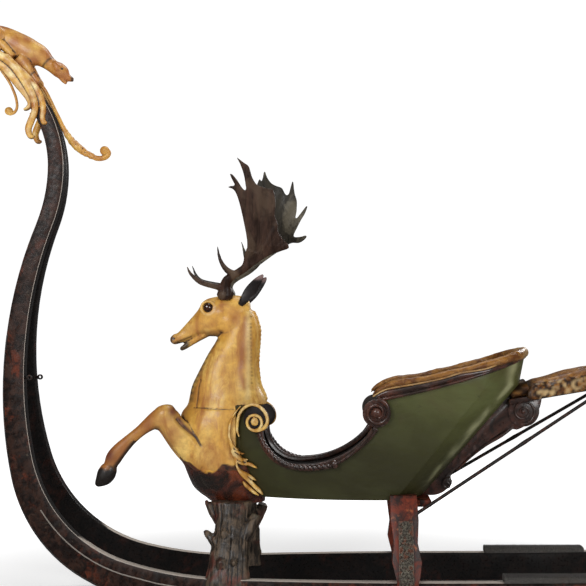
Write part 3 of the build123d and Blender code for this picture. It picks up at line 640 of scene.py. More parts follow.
def leather_finish(light, dark):
    """Worn shiny leather with fine wrinkles and rubbed gold-brown places."""
    shine = 0.34
    f = Finish("leather", rough=shine, coat=0.08, coat_rough=0.25, gloss=0.22)
    cloud = f.noise(20, 6, 0.68, 1.0)
    pores = f.cells(520)
    crease = f.noise(60, 6, 0.7, 1.4)
    tone = f.mix(f.span(cloud, 0.36, 0.66), dark, light)
    tone = f.mix(f.span(crease, 0.55, 0.68, 0.0, 0.5), tone, (0.48, 0.30, 0.10))
    tone = f.mix(f.span(crease, 0.30, 0.44, 0.6, 0.0), tone, (0.10, 0.028, 0.008))
    # The 'tuft' layer: dark tufts, buttons and apron, and painted shade under the roll.
    tone = f.mix(f.layer("tuft"), tone, (0.020, 0.010, 0.006))
    tone = f.mix(f.layer("worn"), tone, (0.44, 0.30, 0.14))
    return f.done(tone, f.span(crease, 0.3, 0.7, shine - 0.08, shine + 0.18),
                  f.sum(f.sum(pores, 0.4, "MULTIPLY"), crease), 0.4, 0.0016)


def antler_finish(name, base, light):
    """Weathered antler with long streaks and a darker grain."""
    f = Finish(name, rough=0.46, coat=0.04, gloss=0.25)
    streak = f.noise(26, 7, 0.7, 0.7, f.stretched((1.7, 1.0, 0.35), (0, -20, 0)))
    cloud = f.noise(9, 4, 0.6, 0.8)
    tone = f.mix(f.span(streak, 0.36, 0.66), tuple(c * 0.35 for c in base), base)
    tone = f.mix(f.sum(f.span(cloud, 0.50, 0.68), f.layer("pale"), "MULTIPLY"), tone, light)
    tone = f.mix(f.span(f.layer("hollow"), 0.2, 0.7, 0.0, 0.8), tone, (0.008, 0.005, 0.004))
    return f.done(tone, f.span(streak, 0.3, 0.7, 0.34, 0.62), streak, 0.6, 0.0025)


def iron_finish(base, rust):
    """Forged iron with a little rust."""
    f = Finish("iron", rough=0.42, metallic=0.6)
    cloud = f.noise(60, 6, 0.65, 0.4)
    tone = f.mix(f.span(cloud, 0.46, 0.68), base, rust)
    return f.done(tone, f.span(cloud, 0.3, 0.7, 0.34, 0.6), cloud, 0.4, 0.001)


def strap_finish():
    """Grey-green iron strap with rust and red paint in its low places."""
    f = Finish("strap_iron", rough=0.45, metallic=0.35)
    cloud = f.noise(150, 6, 0.65, 0.4)
    tone = f.mix(f.span(cloud, 0.40, 0.65), (0.036, 0.028, 0.022), (0.15, 0.135, 0.10))
    tone = f.mix(f.span(f.noise(40, 4, 0.6), 0.48, 0.64, 0.0, 0.75), tone, (0.16, 0.045, 0.020))
    tone = f.mix(f.span(f.layer("hollow"), 0.1, 0.5, 0.0, 0.8), tone, (0.02, 0.012, 0.008))
    return f.done(tone, None, cloud, 0.4, 0.001)


def bristle_finish():
    """Grey bristle of the foot mats."""
    f = Finish("mat_bristle", rough=0.8)
    hair = f.noise(300, 4, 0.7, 0.2, f.stretched((1, 1, 3)))
    cloud = f.noise(22, 4, 0.6)
    tone = f.mix(f.span(hair, 0.36, 0.66), (0.012, 0.011, 0.010), (0.11, 0.10, 0.09))
    tone = f.mix(f.span(cloud, 0.45, 0.7, 0.0, 0.5), tone, (0.060, 0.045, 0.035))
    return f.done(tone, None, hair, 0.8, 0.003)


def glass_eye():
    """Dark brown glass with a lighter ring round the pupil."""
    f = Finish("eye_gloss", rough=0.07, coat=1.0, coat_rough=0.03)
    rings = f.noise(90, 3, 0.5)
    tone = f.mix(f.span(rings, 0.4, 0.6), (0.010, 0.004, 0.003), (0.028, 0.008, 0.004))
    tone = f.mix(f.layer("iris"), tone, (0.06, 0.018, 0.006))
    return f.done(tone)


def ear_black():
    """Near-black paint with a rubbed pink-grey edge."""
    f = Finish("ear_black", rough=0.5)
    cloud = f.noise(40, 5, 0.6)
    tone = f.mix(f.span(cloud, 0.4, 0.7), (0.006, 0.004, 0.004), (0.018, 0.010, 0.009))
    tone = f.mix(f.layer("pale"), tone, (0.22, 0.13, 0.12))
    return f.done(tone, None, cloud, 0.3, 0.001)


FINISHES = {}


def finishes(context):
    """All the finishes, made once from the panel's colours."""
    if not FINISHES:
        paint = context.scene.sleigh_paint
        FINISHES.update(
            gold=gilding(paint), green=body_green(paint), dark=dark_carving(paint),
            belly=belly_paint(paint), runner=runner_paint(), post=post_paint(),
            bark=bark_paint(), iron=iron_finish(tuple(paint.iron), (0.07, 0.03, 0.02)),
            ear=ear_black(), strap=strap_finish(), bristle=bristle_finish(), eye=glass_eye(),
            leather=leather_finish(tuple(paint.leather), (0.115, 0.040, 0.010)),
            near_antler=antler_finish("near_antler", tuple(paint.antler), (0.075, 0.045, 0.026)),
            far_antler=antler_finish("far_antler", (0.030, 0.024, 0.015), (0.105, 0.088, 0.060)),
        )
    return FINISHES


# ---- Pieces

RUNNER_DEPTH = 100
HALF_GAUGE = 260            # from the middle plane to the middle of a runner on the ground
LEAN = 0.168                # how far a runner leans in for each mm along its prow
LEAN_START = 10
LEAN_BEND = 208             # half the length over which it bends from upright to leaning
INNER_START_X = -303
INNER_ARCS = [(1216, -15.5), (448, -60.2), (1240, -35.4), (521, 21.1), (420, 35)]
BEAD_DROP = 36              # from a runner's upper edge to the light bead on its face
BEAD_TOP = 330


def runner_y(x, z):
    """Distance of a runner's middle from the sleigh's middle plane at x and z, in mm."""
    u = (z - x) / math.sqrt(2) - LEAN_START
    if u < -LEAN_BEND:
        return HALF_GAUGE
    return HALF_GAUGE - LEAN * ((u + LEAN_BEND) ** 2 / (4 * LEAN_BEND) if u < LEAN_BEND else u)


def runner_top_line(drop):
    """Points of the line that runs a given drop below a runner's upper edge, in mm."""
    points = [(x, RUNNER_DEPTH - drop) for x in (1140, 800, INNER_START_X)]
    x, z, heading = INNER_START_X, RUNNER_DEPTH, 180.0
    for radius, turn in INNER_ARCS:
        steps = max(int(abs(turn) / 4), 1)
        side = 1 if turn > 0 else -1
        cx = x - side * radius * math.sin(math.radians(heading))
        cz = z + side * radius * math.cos(math.radians(heading))
        for k in range(1, steps + 1):
            a = math.radians(heading + turn * k / steps)
            r = radius - side * drop
            points.append((cx + side * r * math.sin(a), cz - side * r * math.cos(a)))
        heading += turn
        x = cx + side * radius * math.sin(math.radians(heading))
        z = cz - side * radius * math.cos(math.radians(heading))
    return points


class SLEIGH_OT_runners(bpy.types.Operator):
    """Paints the two runners and their iron shoes"""

    bl_idname = "sleigh.runners"
    bl_label = "Runners"

    def execute(self, context):
        kinds = finishes(context)
        line = [(x, z, 2.2) for x, z in runner_top_line(BEAD_DROP) if z < BEAD_TOP]
        for near, side, turn in SIDES:
            bm = from_frame(f"runner_{side}", 0.0022)
            refined(bm, 0.03, 3)
            tint(bm, "inner", lambda p, n: 0.8 if n.y * turn < 0.35 and n.z < 0.8 else 0.0)
            # Painted highlight on the top faces and the bevels of the upper edges.
            tint(bm, "line", lambda p, n: 0.75 if n.z > 0.8
                 or (0.35 < n.y * turn < 0.93 and max(n.x, n.z) > 0.25) else 0.0)
            bead = bmesh.new()
            blade(bead, line, 18.5, 2.6, runner_y, near, 8, 1)
            # A fainter painted highlight along the whole bead.
            tint(bead, "line", lambda p, n: 0.35)
            as_piece(bead, f"runner_bead_{side}", kinds["runner"])
            as_piece(bm, f"painted_runner_{side}", kinds["runner"],
                     (f"runner_{side}",), angle=30)
            eased(f"shoe_{side}", kinds["iron"], 0.0012)
            eased(f"tow_eye_{side}", kinds["iron"], 0.0008)
        return {"FINISHED"}


class SLEIGH_OT_body(bpy.types.Operator):
    """Paints the seat body: sides, back, front, floor, deck, riser and seat board"""

    bl_idname = "sleigh.body"
    bl_label = "Seat body"

    @staticmethod
    def inside(p, n):
        """1 where the wall faces the passenger."""
        outward = n.x * (p.x - 120) + n.y * p.y * 1.6
        return 0.0 if outward > 0 and abs(n.z) < 0.8 else 1.0

    @staticmethod
    def back_highlight(p, n):
        """A painted highlight line down the back, at a fixed share of its half width."""
        low, high = BODY_SECTIONS[0], BODY_SECTIONS[2]
        t = (p.z - low[0]) / (high[0] - low[0])
        if p.x < low[5] + (high[5] - low[5]) * t:
            return 0.0
        share = abs(p.y) / between(BODY_SECTIONS, p.z)[6]
        line = math.exp(-((share - 0.66) / 0.11) ** 2)
        return line * min(max(t * 2.2, 0.2), 1.0) * (0.75 + noise.noise(p * 0.02))

    def execute(self, context):
        green = finishes(context)["green"]
        for node in ("body_side_left", "body_side_right", "body_back", "body_front", "body_floor",
                     "front_deck", "seat_riser", "seat_board"):
            bm = from_frame(node, 0.0015)
            refined(bm, 0.022, 4)
            if node.startswith("body_side") or node in ("body_back", "body_front"):
                tint(bm, "inside", self.inside)
                tint(bm, "back_highlight", self.back_highlight)
            else:
                tint(bm, "inside", lambda p, n: 1.0)
            as_piece(bm, f"painted_{node}", green, (node,), angle=30)
        return {"FINISHED"}


ROPE_LINE = [(-214, 544), (-203, 520), (-186, 494), (-164, 471), (-132, 452), (-98, 442),
             (-60, 439), (-20, 443), (18, 450)]
PLAIN_RIM = [(14, 449, 5.5), (50, 466, 5.5), (90, 496, 5.5), (124, 532, 5.5), (146, 566, 5.5)]
ROPE_SIDES = 18
MOULDING_FROM, MOULDING_LONG, MOULDING_STEPS = 158, 478, 18


def rail_line(x):
    """Height of the line that the rail's mouldings follow at x, in mm."""
    return 650 + (x - 160) * 0.2305 + 0.000203 * (x - 160) * (x - 416)


class SLEIGH_OT_rims(bpy.types.Operator):
    """Carves the rims of the entry, with a rope along the front of each, and the top rail"""

    bl_idname = "sleigh.rims"
    bl_label = "Rims and top rail"

    def execute(self, context):
        kinds = finishes(context)
        carving = context.scene.sleigh_carving
        radius = carving.rope_radius / MM
        collar_front, collar_rear = wall_y(18, 450) + 9, wall_y(30, 455) + 9
        for near, side, turn in SIDES:
            bm = from_frame(f"rim_{side}", 0.003)
            points = [Vector((x, turn * (wall_y(x, z) + 8), z)) * MM
                      for x, z in flowing(ROPE_LINE, 14)]
            stations, lengths, run = [], [], 0.0
            for i, point in enumerate(points):
                up, out = across(points, i)
                run += (point - points[max(i - 1, 0)]).length
                lengths.append(run)
                stations.append((point, out * radius * MM, up * radius * MM))
            made = loft(bm, stations, ROPE_SIDES)
            for i, (point, out, up) in enumerate(stations):
                twist = 2 * math.pi * lengths[i] / carving.rope_lay
                for vert in made[i * ROPE_SIDES:(i + 1) * ROPE_SIDES]:
                    off = vert.co - point
                    a = math.atan2(off.dot(up), off.dot(out))
                    vert.co = point + off * (0.66 + 0.44 * abs(math.cos(1.5 * (a - twist))))
            limb(bm, [(18, collar_front, 452, 12), (22, collar_front, 453, 14),
                      (30, collar_rear, 456, 14), (35, collar_rear, 458, 10)], 14, 2, near)
            blade(bm, PLAIN_RIM, 9, 6, wall_y, near, 12, 4)
            add_hollows(bm, 5, 0)
            as_piece(bm, f"rope_rim_{side}", kinds["dark"], (f"rim_{side}",), angle=45)
        eased("top_rail", kinds["dark"], 0.004)
        moulding = bmesh.new()
        for near in (True, False):
            for drop, size, lift in ((23, 9.5, 4), (6, 5.0, 5)):
                rows = []
                for k in range(MOULDING_STEPS + 1):
                    x = MOULDING_FROM + MOULDING_LONG * k / MOULDING_STEPS
                    under_roll = max(between(LEATHER_ROLL, x)[1] - size, 662)
                    at_end = k in (0, MOULDING_STEPS)
                    rows.append((x, min(rail_line(x) + drop, under_roll),
                                 size * 0.6 if at_end else size))
                blade(moulding, rows, lift, 8, wall_y, near, 12, 2)
        add_hollows(moulding, 3, 0)
        as_piece(moulding, "rail_moulding", kinds["dark"], angle=50)
        return {"FINISHED"}


VOLUTE_BAND = [(-247, 562, 2.5), (-231, 554, 4.5), (-211, 557, 5.4), (-193, 568, 6.4),
               (-186, 588, 5.6), (-193, 612, 5.6), (-212, 631, 5.4), (-237, 638, 5.2),
               (-261, 628, 5.2), (-277, 610, 5.2), (-285, 588, 5.2), (-287, 568, 4.9),
               (-287, 551, 4.4), (-280, 533, 2.0)]
FRONT_COIL, FRONT_BALL = (-229, 580), (-227, 583)
REAR_COIL = (157, 616)
BRACKET_COIL = (640, 610)
ACANTHUS_LEAVES = [
    [(-276, 631, 2.4), (-298, 603, 3.4), (-308, 578, 4.4), (-311, 551, 4.9), (-309, 527, 4.9),
     (-302, 502, 4.9), (-294, 478, 4.4), (-289, 456, 3.9), (-287, 439, 3.4), (-276, 417, 2.9)],
    [(-309, 537, 2.9), (-301, 512, 3.9), (-291, 497, 3.4), (-282, 495, 1.2)],
    [(-301, 492, 3.4), (-288, 488, 4.9), (-275, 479, 3.9), (-263, 480, 1.5)],
    [(-303, 492, 4.4), (-290, 472, 8.3), (-272, 457, 8.3), (-255, 460, 2.9)],
    [(-288, 457, 3.9), (-266, 445, 5.4), (-249, 446, 5.9), (-235, 440, 4.9), (-222, 433, 2.0)],
    [(-288, 439, 2.9), (-277, 423, 6.4), (-261, 412, 7.3), (-244, 402, 5.9), (-227, 392, 2.0)],
    [(-287, 442, 2.9), (-274, 417, 6.4), (-254, 395, 7.3), (-235, 375, 7.3), (-217, 358, 6.4),
     (-206, 346, 2.4)],
    [(-269, 390, 2.4), (-261, 377, 5.9), (-247, 363, 5.9), (-231, 350, 4.9), (-219, 343, 2.0)],
]


class SLEIGH_OT_scrolls(bpy.types.Operator):
    """Carves the scrolls at both ends of the rims and the acanthus down the body's front corner"""

    bl_idname = "sleigh.scrolls"
    bl_label = "Scrolls and acanthus"

    def execute(self, context):
        kinds = finishes(context)
        trim_y = skin_of("body_side_left", "stag_chest", "stag_neck", "stag_belly")
        ring = spiral(FRONT_COIL, (24.5, 24.5), -95, 15, 25, (5.0, 5.0))
        ball_y = wall_y(-226, 585)
        band = spiral(REAR_COIL, (17.5, 43), -70, 13.2, 40, (3.2, 7.2), 1.25)
        rear_y = wall_y(*REAR_COIL)
        for near, side, turn in SIDES:
            bm = bmesh.new()
            blade(bm, VOLUTE_BAND, 12, 8, trim_y, near, 12, 4)
            blade(bm, ring, 13, 8, wall_y, near, 12, 1)
            boss(bm, *FRONT_BALL, [(ball_y + 4, 14), (ball_y + 14, 13), (ball_y + 19, 6)],
                 20, 2, near)
            for leaf in ACANTHUS_LEAVES:
                blade(bm, leaf, 7, 8, trim_y, near, 12, 4)
                blade(bm, [(x + 1, z, w * 0.3) for x, z, w in leaf], 13, 5, trim_y, near, 8, 4)
            bm = meld(bm, 0.0022, 1)
            add_hollows(bm, 7, 1)
            tint(bm, "pale",
                 lambda p, n: 0.25 + noise.noise(p * 0.06) if n.y * turn > 0.5 else 0.0)
            tint(bm, "brown", lambda p, n: 0.15 + noise.noise(p * 0.05) * 0.6
                 + max(0.0, 0.75 - abs(n.y)) * 0.8)
            as_piece(bm, f"acanthus_scroll_{side}", kinds["gold"],
                     (f"acanthus_{side}",), angle=70)
            ground = from_frame(f"front_scroll_{side}", 0.002)
            bmesh.ops.translate(ground, vec=Vector((0, 0.007 * -turn, 0)), verts=ground.verts)
            as_piece(ground, f"front_scroll_ground_{side}", kinds["ear"],
                     (f"front_scroll_{side}",), angle=40)
            bm = bmesh.new()
            blade(bm, band, 13, 8, wall_y, near, 12, 1)
            boss(bm, *REAR_COIL, [(rear_y + 6, 18), (rear_y + 15, 16), (rear_y + 22, 9),
                                  (rear_y + 24, 2)], 20, 3, near)
            disc = from_frame(f"rear_scroll_{side}", 0.002)
            bmesh.ops.translate(disc, vec=Vector((0, 0.006 * -turn, 0)), verts=disc.verts)
            held = bpy.data.meshes.new("held")
            disc.to_mesh(held)
            disc.free()
            bm.from_mesh(held)
            bpy.data.meshes.remove(held)
            add_hollows(bm, 5, 0)
            as_piece(bm, f"rear_volute_{side}", kinds["dark"],
                     (f"rear_scroll_{side}",), angle=50)
        return {"FINISHED"}


CHEST_AND_NECK = [
    (392, -445, -222, 100), (430, -470, -205, 116), (467, -489, -205, 120),
    (540, -490, -205, 118), (601, -483, -203, 104), (632, -462, -200, 95),
    (661, -455, -207, 84), (700, -445, -225, 76),
    (760, -415, -232, 66), (800, -394, -230, 61), (840, -369, -227, 56), (880, -350, -225, 51),
    (925, -340, -238, 44), (952, -332, -256, 34),
]
HEAD = [
    (-519, 0, 846, 9, 7), (-508, 0, 847, 17, 17), (-493, 0, 851, 20, 19), (-459, 0, 875, 24, 32),
    (-429, 0, 899, 31, 43), (-409, 0, 916, 38, 57), (-380, 0, 921, 43, 64.5),
    (-330, 0, 925, 46, 67),
    (-285, 0, 930, 42, 60), (-256, 0, 937, 27, 34),
]
JAW = [(-400, 0, 872, 18), (-430, 0, 852, 14), (-455, 0, 833, 10), (-478, 0, 818, 8.5),
       (-487, 0, 813, 5)]
LEG = [
    (-390, 74, 462, 40, 56), (-430, 78, 492, 40, 50), (-462, 80, 522, 37, 44),
    (-496, 82, 566, 35, 40), (-514, 82, 590, 33, 40), (-526, 82, 606, 28, 32),
]
KNEE = [(-492, 82, 622, 14, 14), (-504, 82, 614, 27, 28), (-522, 82, 600, 33, 37),
        (-543, 82, 584, 30, 33), (-558, 82, 572, 20, 22)]
SHANK = [
    (-522, 82, 604, 25, 28), (-545, 82, 590, 27, 30), (-573, 82, 572, 22, 23),
    (-600, 82, 551, 18, 18.5), (-630, 82, 526, 18, 19), (-652, 82, 505, 19, 22),
    (-672, 82, 484, 21, 25),
    (-688, 82, 462, 22, 26), (-698, 82, 440, 20, 22), (-703, 82, 424, 24, 27),
]
HOOF = [(-702, 82, 432, 24, 26), (-710, 82, 414, 27, 30), (-722, 82, 396, 27, 26),
        (-738, 82, 380, 19, 13), (-744, 82, 374, 9, 6)]
FAR_LEG = (-36, -13)        # how much further forward and lower the far foreleg is
EYE_X, EYE_Z = -390, 949
NOSTRIL = (-509, 13, 849)
MOUTH = [(-505, 834), (-478, 844), (-448, 856)]
ARMPIT = [(-462, 520), (-430, 492)]
EAR = [(-286, 32, 958, 8, 9), (-270, 40, 978, 9, 15), (-250, 49, 1005, 7, 19),
       (-230, 56, 1030, 6, 15), (-214, 61, 1048, 4, 8), (-208, 63, 1056, 1, 2)]
EAR_HOLLOW = (-250, 49, 1005)
# Places of the stag that are raised or pressed on both sides: x, y, z, radius and push
MUSCLES = [
    (-504, 15, 849, 10, -5), (-470, 24, 872, 22, -2.5), (-352, 44, 930, 30, 2.5),
    (-430, 118, 560, 70, 5), (-418, 62, 500, 26, -9), (-360, 112, 520, 80, -4),
    (-300, 60, 760, 70, -4), (-390, 50, 740, 60, 4),
]
NECK_STRIPE = [(-268, 915), (-272, 860), (-278, 800), (-282, 740), (-268, 690)]
CRACKS = [
    [(-432, 625), (-400, 624), (-350, 621), (-300, 620)],
    [(-413, 716), (-418, 690), (-421, 655), (-422, 627)],
]
CREASE = [(-478, 590), (-462, 570), (-440, 550), (-420, 532), (-405, 508)]
GOLD_EDGE = [(-486, 466), (-454, 456), (-430, 441), (-412, 431), (-385, 413), (-368, 419),
             (-345, 438), (-324, 446), (-299, 447), (-190, 447)]


def gold_edge(p):
    """Height of the wavy edge between the gold chest and the dark belly near p, in mm."""
    return between(GOLD_EDGE, p.x)[1] + (noise.noise(p * 0.05) * 5 + 3 * math.sin(p.x / 9))


def creased(x):
    """How far along the shoulder's crease x lies, from 0 at its top to 1 at its end."""
    return clamped((x + 470) / 66)


def skin_of(*nodes):
    """A function that gives how far out the named frame nodes stand at x and z, in mm."""
    bm = bmesh.new()
    for node in nodes:
        bm.from_mesh(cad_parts[node].data)
    tree = BVHTree.FromBMesh(bm)
    bm.free()

    def outermost(x, z):
        hit = tree.ray_cast(Vector((x, -1000, z)) * MM, SIDEWAYS)[0]
        return max(-hit.y / MM + 2 if hit else 0, wall_y(x, z))

    return outermost


def wall_front(z):
    """Front of the body's front wall at height z, in mm."""
    return between(BODY_SECTIONS, z)[1]


class SLEIGH_OT_stag(bpy.types.Operator):
    """Carves the stag: chest, neck, head and forelegs in one, with its eyes and ears"""

    bl_idname = "sleigh.stag"
    bl_label = "Stag"

    def execute(self, context):
        kinds = finishes(context)
        bm = bmesh.new()
        stack(bm, CHEST_AND_NECK)
        loft(bm, [(Vector((x, 0, z)) * MM, Vector((0, w, 0)) * MM, Vector((0, 0, h)) * MM)
                  for x, _, z, w, h in flowing(HEAD, 4)], 32)
        limb(bm, JAW, 16, 3)
        for near, (forward, lower) in ((True, (0, 0)), (False, FAR_LEG)):
            for rows in (LEG, KNEE, SHANK, HOOF):
                moved = [(x + forward, y, z + lower, *sizes) for x, y, z, *sizes in rows]
                limb(bm, moved, 22, 3, near)
            eyelid = []
            for k in range(19):
                a = math.radians(20 * k)
                eyelid.append((EYE_X + 21.5 * math.cos(a), 37 - 3 * math.cos(a),
                               EYE_Z + 21.5 * math.sin(a), 5.5))
            limb(bm, eyelid, 12, 1, near)
            limb(bm, [(-350, 30, 905, 16, 30), (-320, 34, 900, 18, 36), (-292, 30, 905, 16, 30)],
                 16, 3, near)
        for k in range(21):
            z = 652 + k * 14
            nape = between(CHEST_AND_NECK, z)[2]
            limb(bm, [(nape - 6, 0, z - 5, 9, 7), (nape + 1, 0, z, 11, 8),
                      (nape - 4, 0, z + 6, 9, 7)], 10, 2)
        bm = meld(bm, context.scene.sleigh_carving.stag_voxel, 3)
        for turn in (-1, 1):
            for x, y, z, radius, push in MUSCLES:
                swell(bm, (x, turn * y, z), radius, push)
        stop = {v: wall_front(v.co.z / MM) + 3 for v in bm.verts if v.co.z < 0.6325}
        for vert, x in stop.items():
            vert.co.x = min(vert.co.x, x * MM)
        bm.normal_update()
        for line, wide, deep in ((CRACKS[0], 5, 2), (CRACKS[1], 5, 2), (CREASE, 13, 9)):
            for vert in bm.verts:
                d = near_line(vert.co, line)
                if d < wide and abs(vert.co.y) > 0.03:
                    fade = 1 - 0.75 * creased(vert.co.x / MM) if line is CREASE else 1
                    vert.co -= vert.normal * MM * deep * fade * (1 - d / wide)
        add_hollows(bm, 6, 2)

        def brown(p, n):
            blotch = noise.noise(p * 0.012) * 0.5 + noise.noise(p * 0.035) * 0.45
            shank = clamped((-p.x - 500) / 70) * (0.95 + blotch * 0.5)
            knee = clamped((-p.x - 440) / 60) * 0.5 if p.z > 500 and p.x < -440 else 0.0
            stripe = math.exp(-(near_line(p * MM, NECK_STRIPE) / 11) ** 2) * 0.85
            cheek = blot(p, -300, 915, 20, 26) * 0.8
            jaw = blot(p, -365, 868, 50, 12) * 0.6
            fold = math.exp(-((p.x + 408 + (p.z - 700) * 0.1) / 9) ** 2) * 0.5 \
                if p.z > 600 else 0.0
            front = blot(p, -395, 655, 45, 20) * 0.55
            return max(shank, knee + blotch, stripe + blotch * 0.4, cheek, jaw,
                       fold + blotch * 0.3, front + blotch * 0.5, blotch * 1.15)

        def red(p, n):
            fetlock = blot(p, -700, 475, 20, 26)
            knee = blot(p, -492, 615, 17, 22) * 1.1
            crease = max(0.0, 1.25 - near_line(p * MM, CREASE) / (11 - 8 * creased(p.x))) \
                if abs(p.y) > 40 else 0.0
            return max(fetlock, knee, crease)

        def dark(p, n):
            jitter = noise.noise(p * 0.06)
            crack = max(0.9 + jitter - near_line(p * MM, line) / 2.6 for line in CRACKS)
            crease = 0.7 + jitter - near_line(p * MM, CREASE) / (5.5 - 4 * creased(p.x))
            crack = max(crack * 0.85, crease * 0.85) if abs(p.y) > 30 else 0
            hole = Vector((NOSTRIL[0], math.copysign(NOSTRIL[1], p.y), NOSTRIL[2]))
            nostril = max(0.0, 1 - (p - hole).length / 9)
            lips = clamped((-p.x - 506) / 8) if p.z > 800 else 0.0
            jaw = clamped((-p.x - 446) / 14, 1.15) if 800 < p.z < 838 and p.x > -496 else 0.0
            mouth = math.exp(-(near_line(p * MM, MOUTH) / 3.5) ** 2)
            hoof = clamped((438 + jitter * 16 - p.z) / 14) if p.x < -640 else 0
            heel = clamped((p.x + 690 - (p.z - 440) * 0.75) / 10) * 0.9 \
                if p.x < -600 and p.z < 520 else 0.0
            # Painted shade: under the head, under the legs, and on the throat's forward faces,
            # where it is scalloped like tufts.
            under = max(0.0, -n.z - 0.45) * 1.6 if p.z > 790 and p.x < -330 else 0.0
            below = max(0.0, -n.z - 0.5) * 1.8 if p.x < -480 and p.z < 620 else 0.0
            throat_tufts_and_shade = max(0.0, -n.x - 0.6) * 3.2 * (0.75 + 0.25 * math.sin(p.z * 0.33)) \
                if 640 < p.z < 850 and p.x > -450 else 0.0
            mane = math.exp(-((p.x + 249 + (p.z - 840) * 0.02) / 3.2) ** 2) \
                * (0.5 + 0.5 * math.sin(p.z * 0.52)) * (0.45 + jitter) if 690 < p.z < 950 else 0.0
            return max(crack, nostril * 1.3, lips * 0.85, jaw * 0.8, mouth * 0.75, hoof, heel,
                       under, below, throat_tufts_and_shade, mane)

        def pale(p, n):
            mane = max(0.0, 1 - abs(p.x + 257) / 14) if 650 < p.z < 940 else 0.0
            ring = abs((p - Vector((EYE_X, math.copysign(38, p.y), EYE_Z))).length - 23)
            return max(mane * 0.55, 0.40 * max(0.0, 1 - ring / 5) if abs(p.y) > 25 else 0.0)

        def below(p, n):
            if p.z > 480 or p.x < -492 or abs(p.y) > 122:
                return 0.0
            if near_line(p * MM, ARMPIT) <= 34:
                return 0.0
            return clamped((gold_edge(p) - p.z) / 3 + 0.5)

        tint(bm, "brown", brown)
        tint(bm, "dark", dark)
        tint(bm, "pale", pale)
        tint(bm, "red", red)
        tint(bm, "below", below)
        as_piece(bm, "carved_stag", kinds["gold"],
                 ("stag_chest", "stag_neck", "stag_head", "foreleg_left", "foreleg_right"),
                 angle=75)

        bm = bmesh.new()
        for turn in (-1, 1):
            bmesh.ops.create_uvsphere(
                bm, u_segments=28, v_segments=18, radius=0.0185,
                matrix=Matrix.Translation(Vector((EYE_X, turn * 31, EYE_Z)) * MM))
        tint(bm, "iris",
             lambda p, n: 1.0 if 4 < math.hypot(p.x - EYE_X, p.z - EYE_Z) < 7 else 0.0)
        as_piece(bm, "glass_eyes", kinds["eye"], ("stag_eyes",))

        bm = bmesh.new()
        for near, _, turn in SIDES:
            centre = Vector((EAR_HOLLOW[0], turn * EAR_HOLLOW[1], EAR_HOLLOW[2]))
            for vert in limb(bm, EAR, 20, 4, near):
                p = vert.co / MM
                d = (p - centre).length / 42
                if d < 1 and (p.y - centre.y) * turn > -2:
                    vert.co.y -= turn * 0.008 * (1 - d * d)
        tint(bm, "pale", lambda p, n: clamped((p.z - 1036) / 12, 0.7))
        as_piece(bm, "carved_ears", kinds["ear"], ("stag_ears",), rounding=1, angle=80)
        return {"FINISHED"}


BELLY = [(312, -372, -205, 66), (318, -388, -205, 76), (330, -402, -205, 84),
         (343, -421, -205, 92), (365, -443, -205, 100), (401, -460, -205, 109),
         (430, -471, -205, 115), (446, -478, -205, 116)]


class SLEIGH_OT_belly(bpy.types.Operator):
    """Rounds the stag's dark belly over the two trunks"""

    bl_idname = "sleigh.belly"
    bl_label = "Belly"

    def execute(self, context):
        bm = bmesh.new()
        stack(bm, BELLY, 40)
        bm = meld(bm, 0.005, 3)
        for vert in bm.verts:
            vert.co.x = min(vert.co.x, (wall_front(max(vert.co.z / MM, 338)) + 3) * MM)
        tint(bm, "gold", lambda p, n: (p.z - gold_edge(p)) / 3 + 0.5)
        as_piece(bm, "carved_belly", finishes(context)["belly"], ("stag_belly",),
                 angle=75)
        return {"FINISHED"}


BEAM = [(-336, 22, 978, 20, 22), (-335, 26, 993, 23, 27), (-333, 28, 1004, 18, 20),
        (-334, 32, 1022, 15, 18), (-326, 38, 1040, 13, 16), (-306, 44, 1054, 12, 13),
        (-286, 50, 1066, 12, 13), (-266, 56, 1080, 12, 14), (-250, 61, 1104, 9, 22),
        (-240, 66, 1130, 6, 24)]
NEAR_TINES = [
    [(-340, 30, 1016, 12, 12), (-369, 36, 1020, 9, 10), (-412, 44, 1032, 8, 9),
     (-438, 50, 1052, 6, 6.5), (-450, 52, 1068, 4, 4.5), (-456, 53, 1084, 1.5, 2)],
    [(-300, 46, 1058, 11, 11), (-325, 52, 1070, 9, 10), (-343, 58, 1094, 7, 7),
     (-353, 62, 1122, 5, 5), (-357, 64, 1150, 2, 2)],
]
FAR_TINES = [
    [(-340, 30, 1020, 12, 12), (-394, 40, 1034, 8, 8), (-425, 45, 1044, 7, 7),
     (-443, 50, 1064, 5, 5), (-456, 53, 1098, 1.5, 2)],
    [(-262, 57, 1086, 9, 10), (-274, 62, 1114, 7, 8), (-284, 66, 1146, 4, 5),
     (-294, 70, 1178, 1.5, 2)],
]
NEAR_PALM = [
    (-259, 1092), (-259, 1128), (-258, 1161), (-264, 1207), (-275, 1262), (-290, 1308),
    (-303, 1328), (-317, 1333), (-304, 1338), (-294, 1337), (-303, 1354), (-311, 1376),
    (-300, 1372), (-284, 1352), (-268, 1328), (-258, 1322), (-260, 1340), (-266, 1372),
    (-278, 1405), (-289, 1427), (-277, 1420), (-263, 1408), (-248, 1396), (-238, 1364),
    (-221, 1338), (-194, 1329), (-171, 1322),
    (-165, 1286), (-167, 1253), (-160, 1222), (-158, 1194), (-141, 1168), (-122, 1143),
    (-152, 1130), (-179, 1122), (-204, 1108), (-228, 1092), (-246, 1084),
]
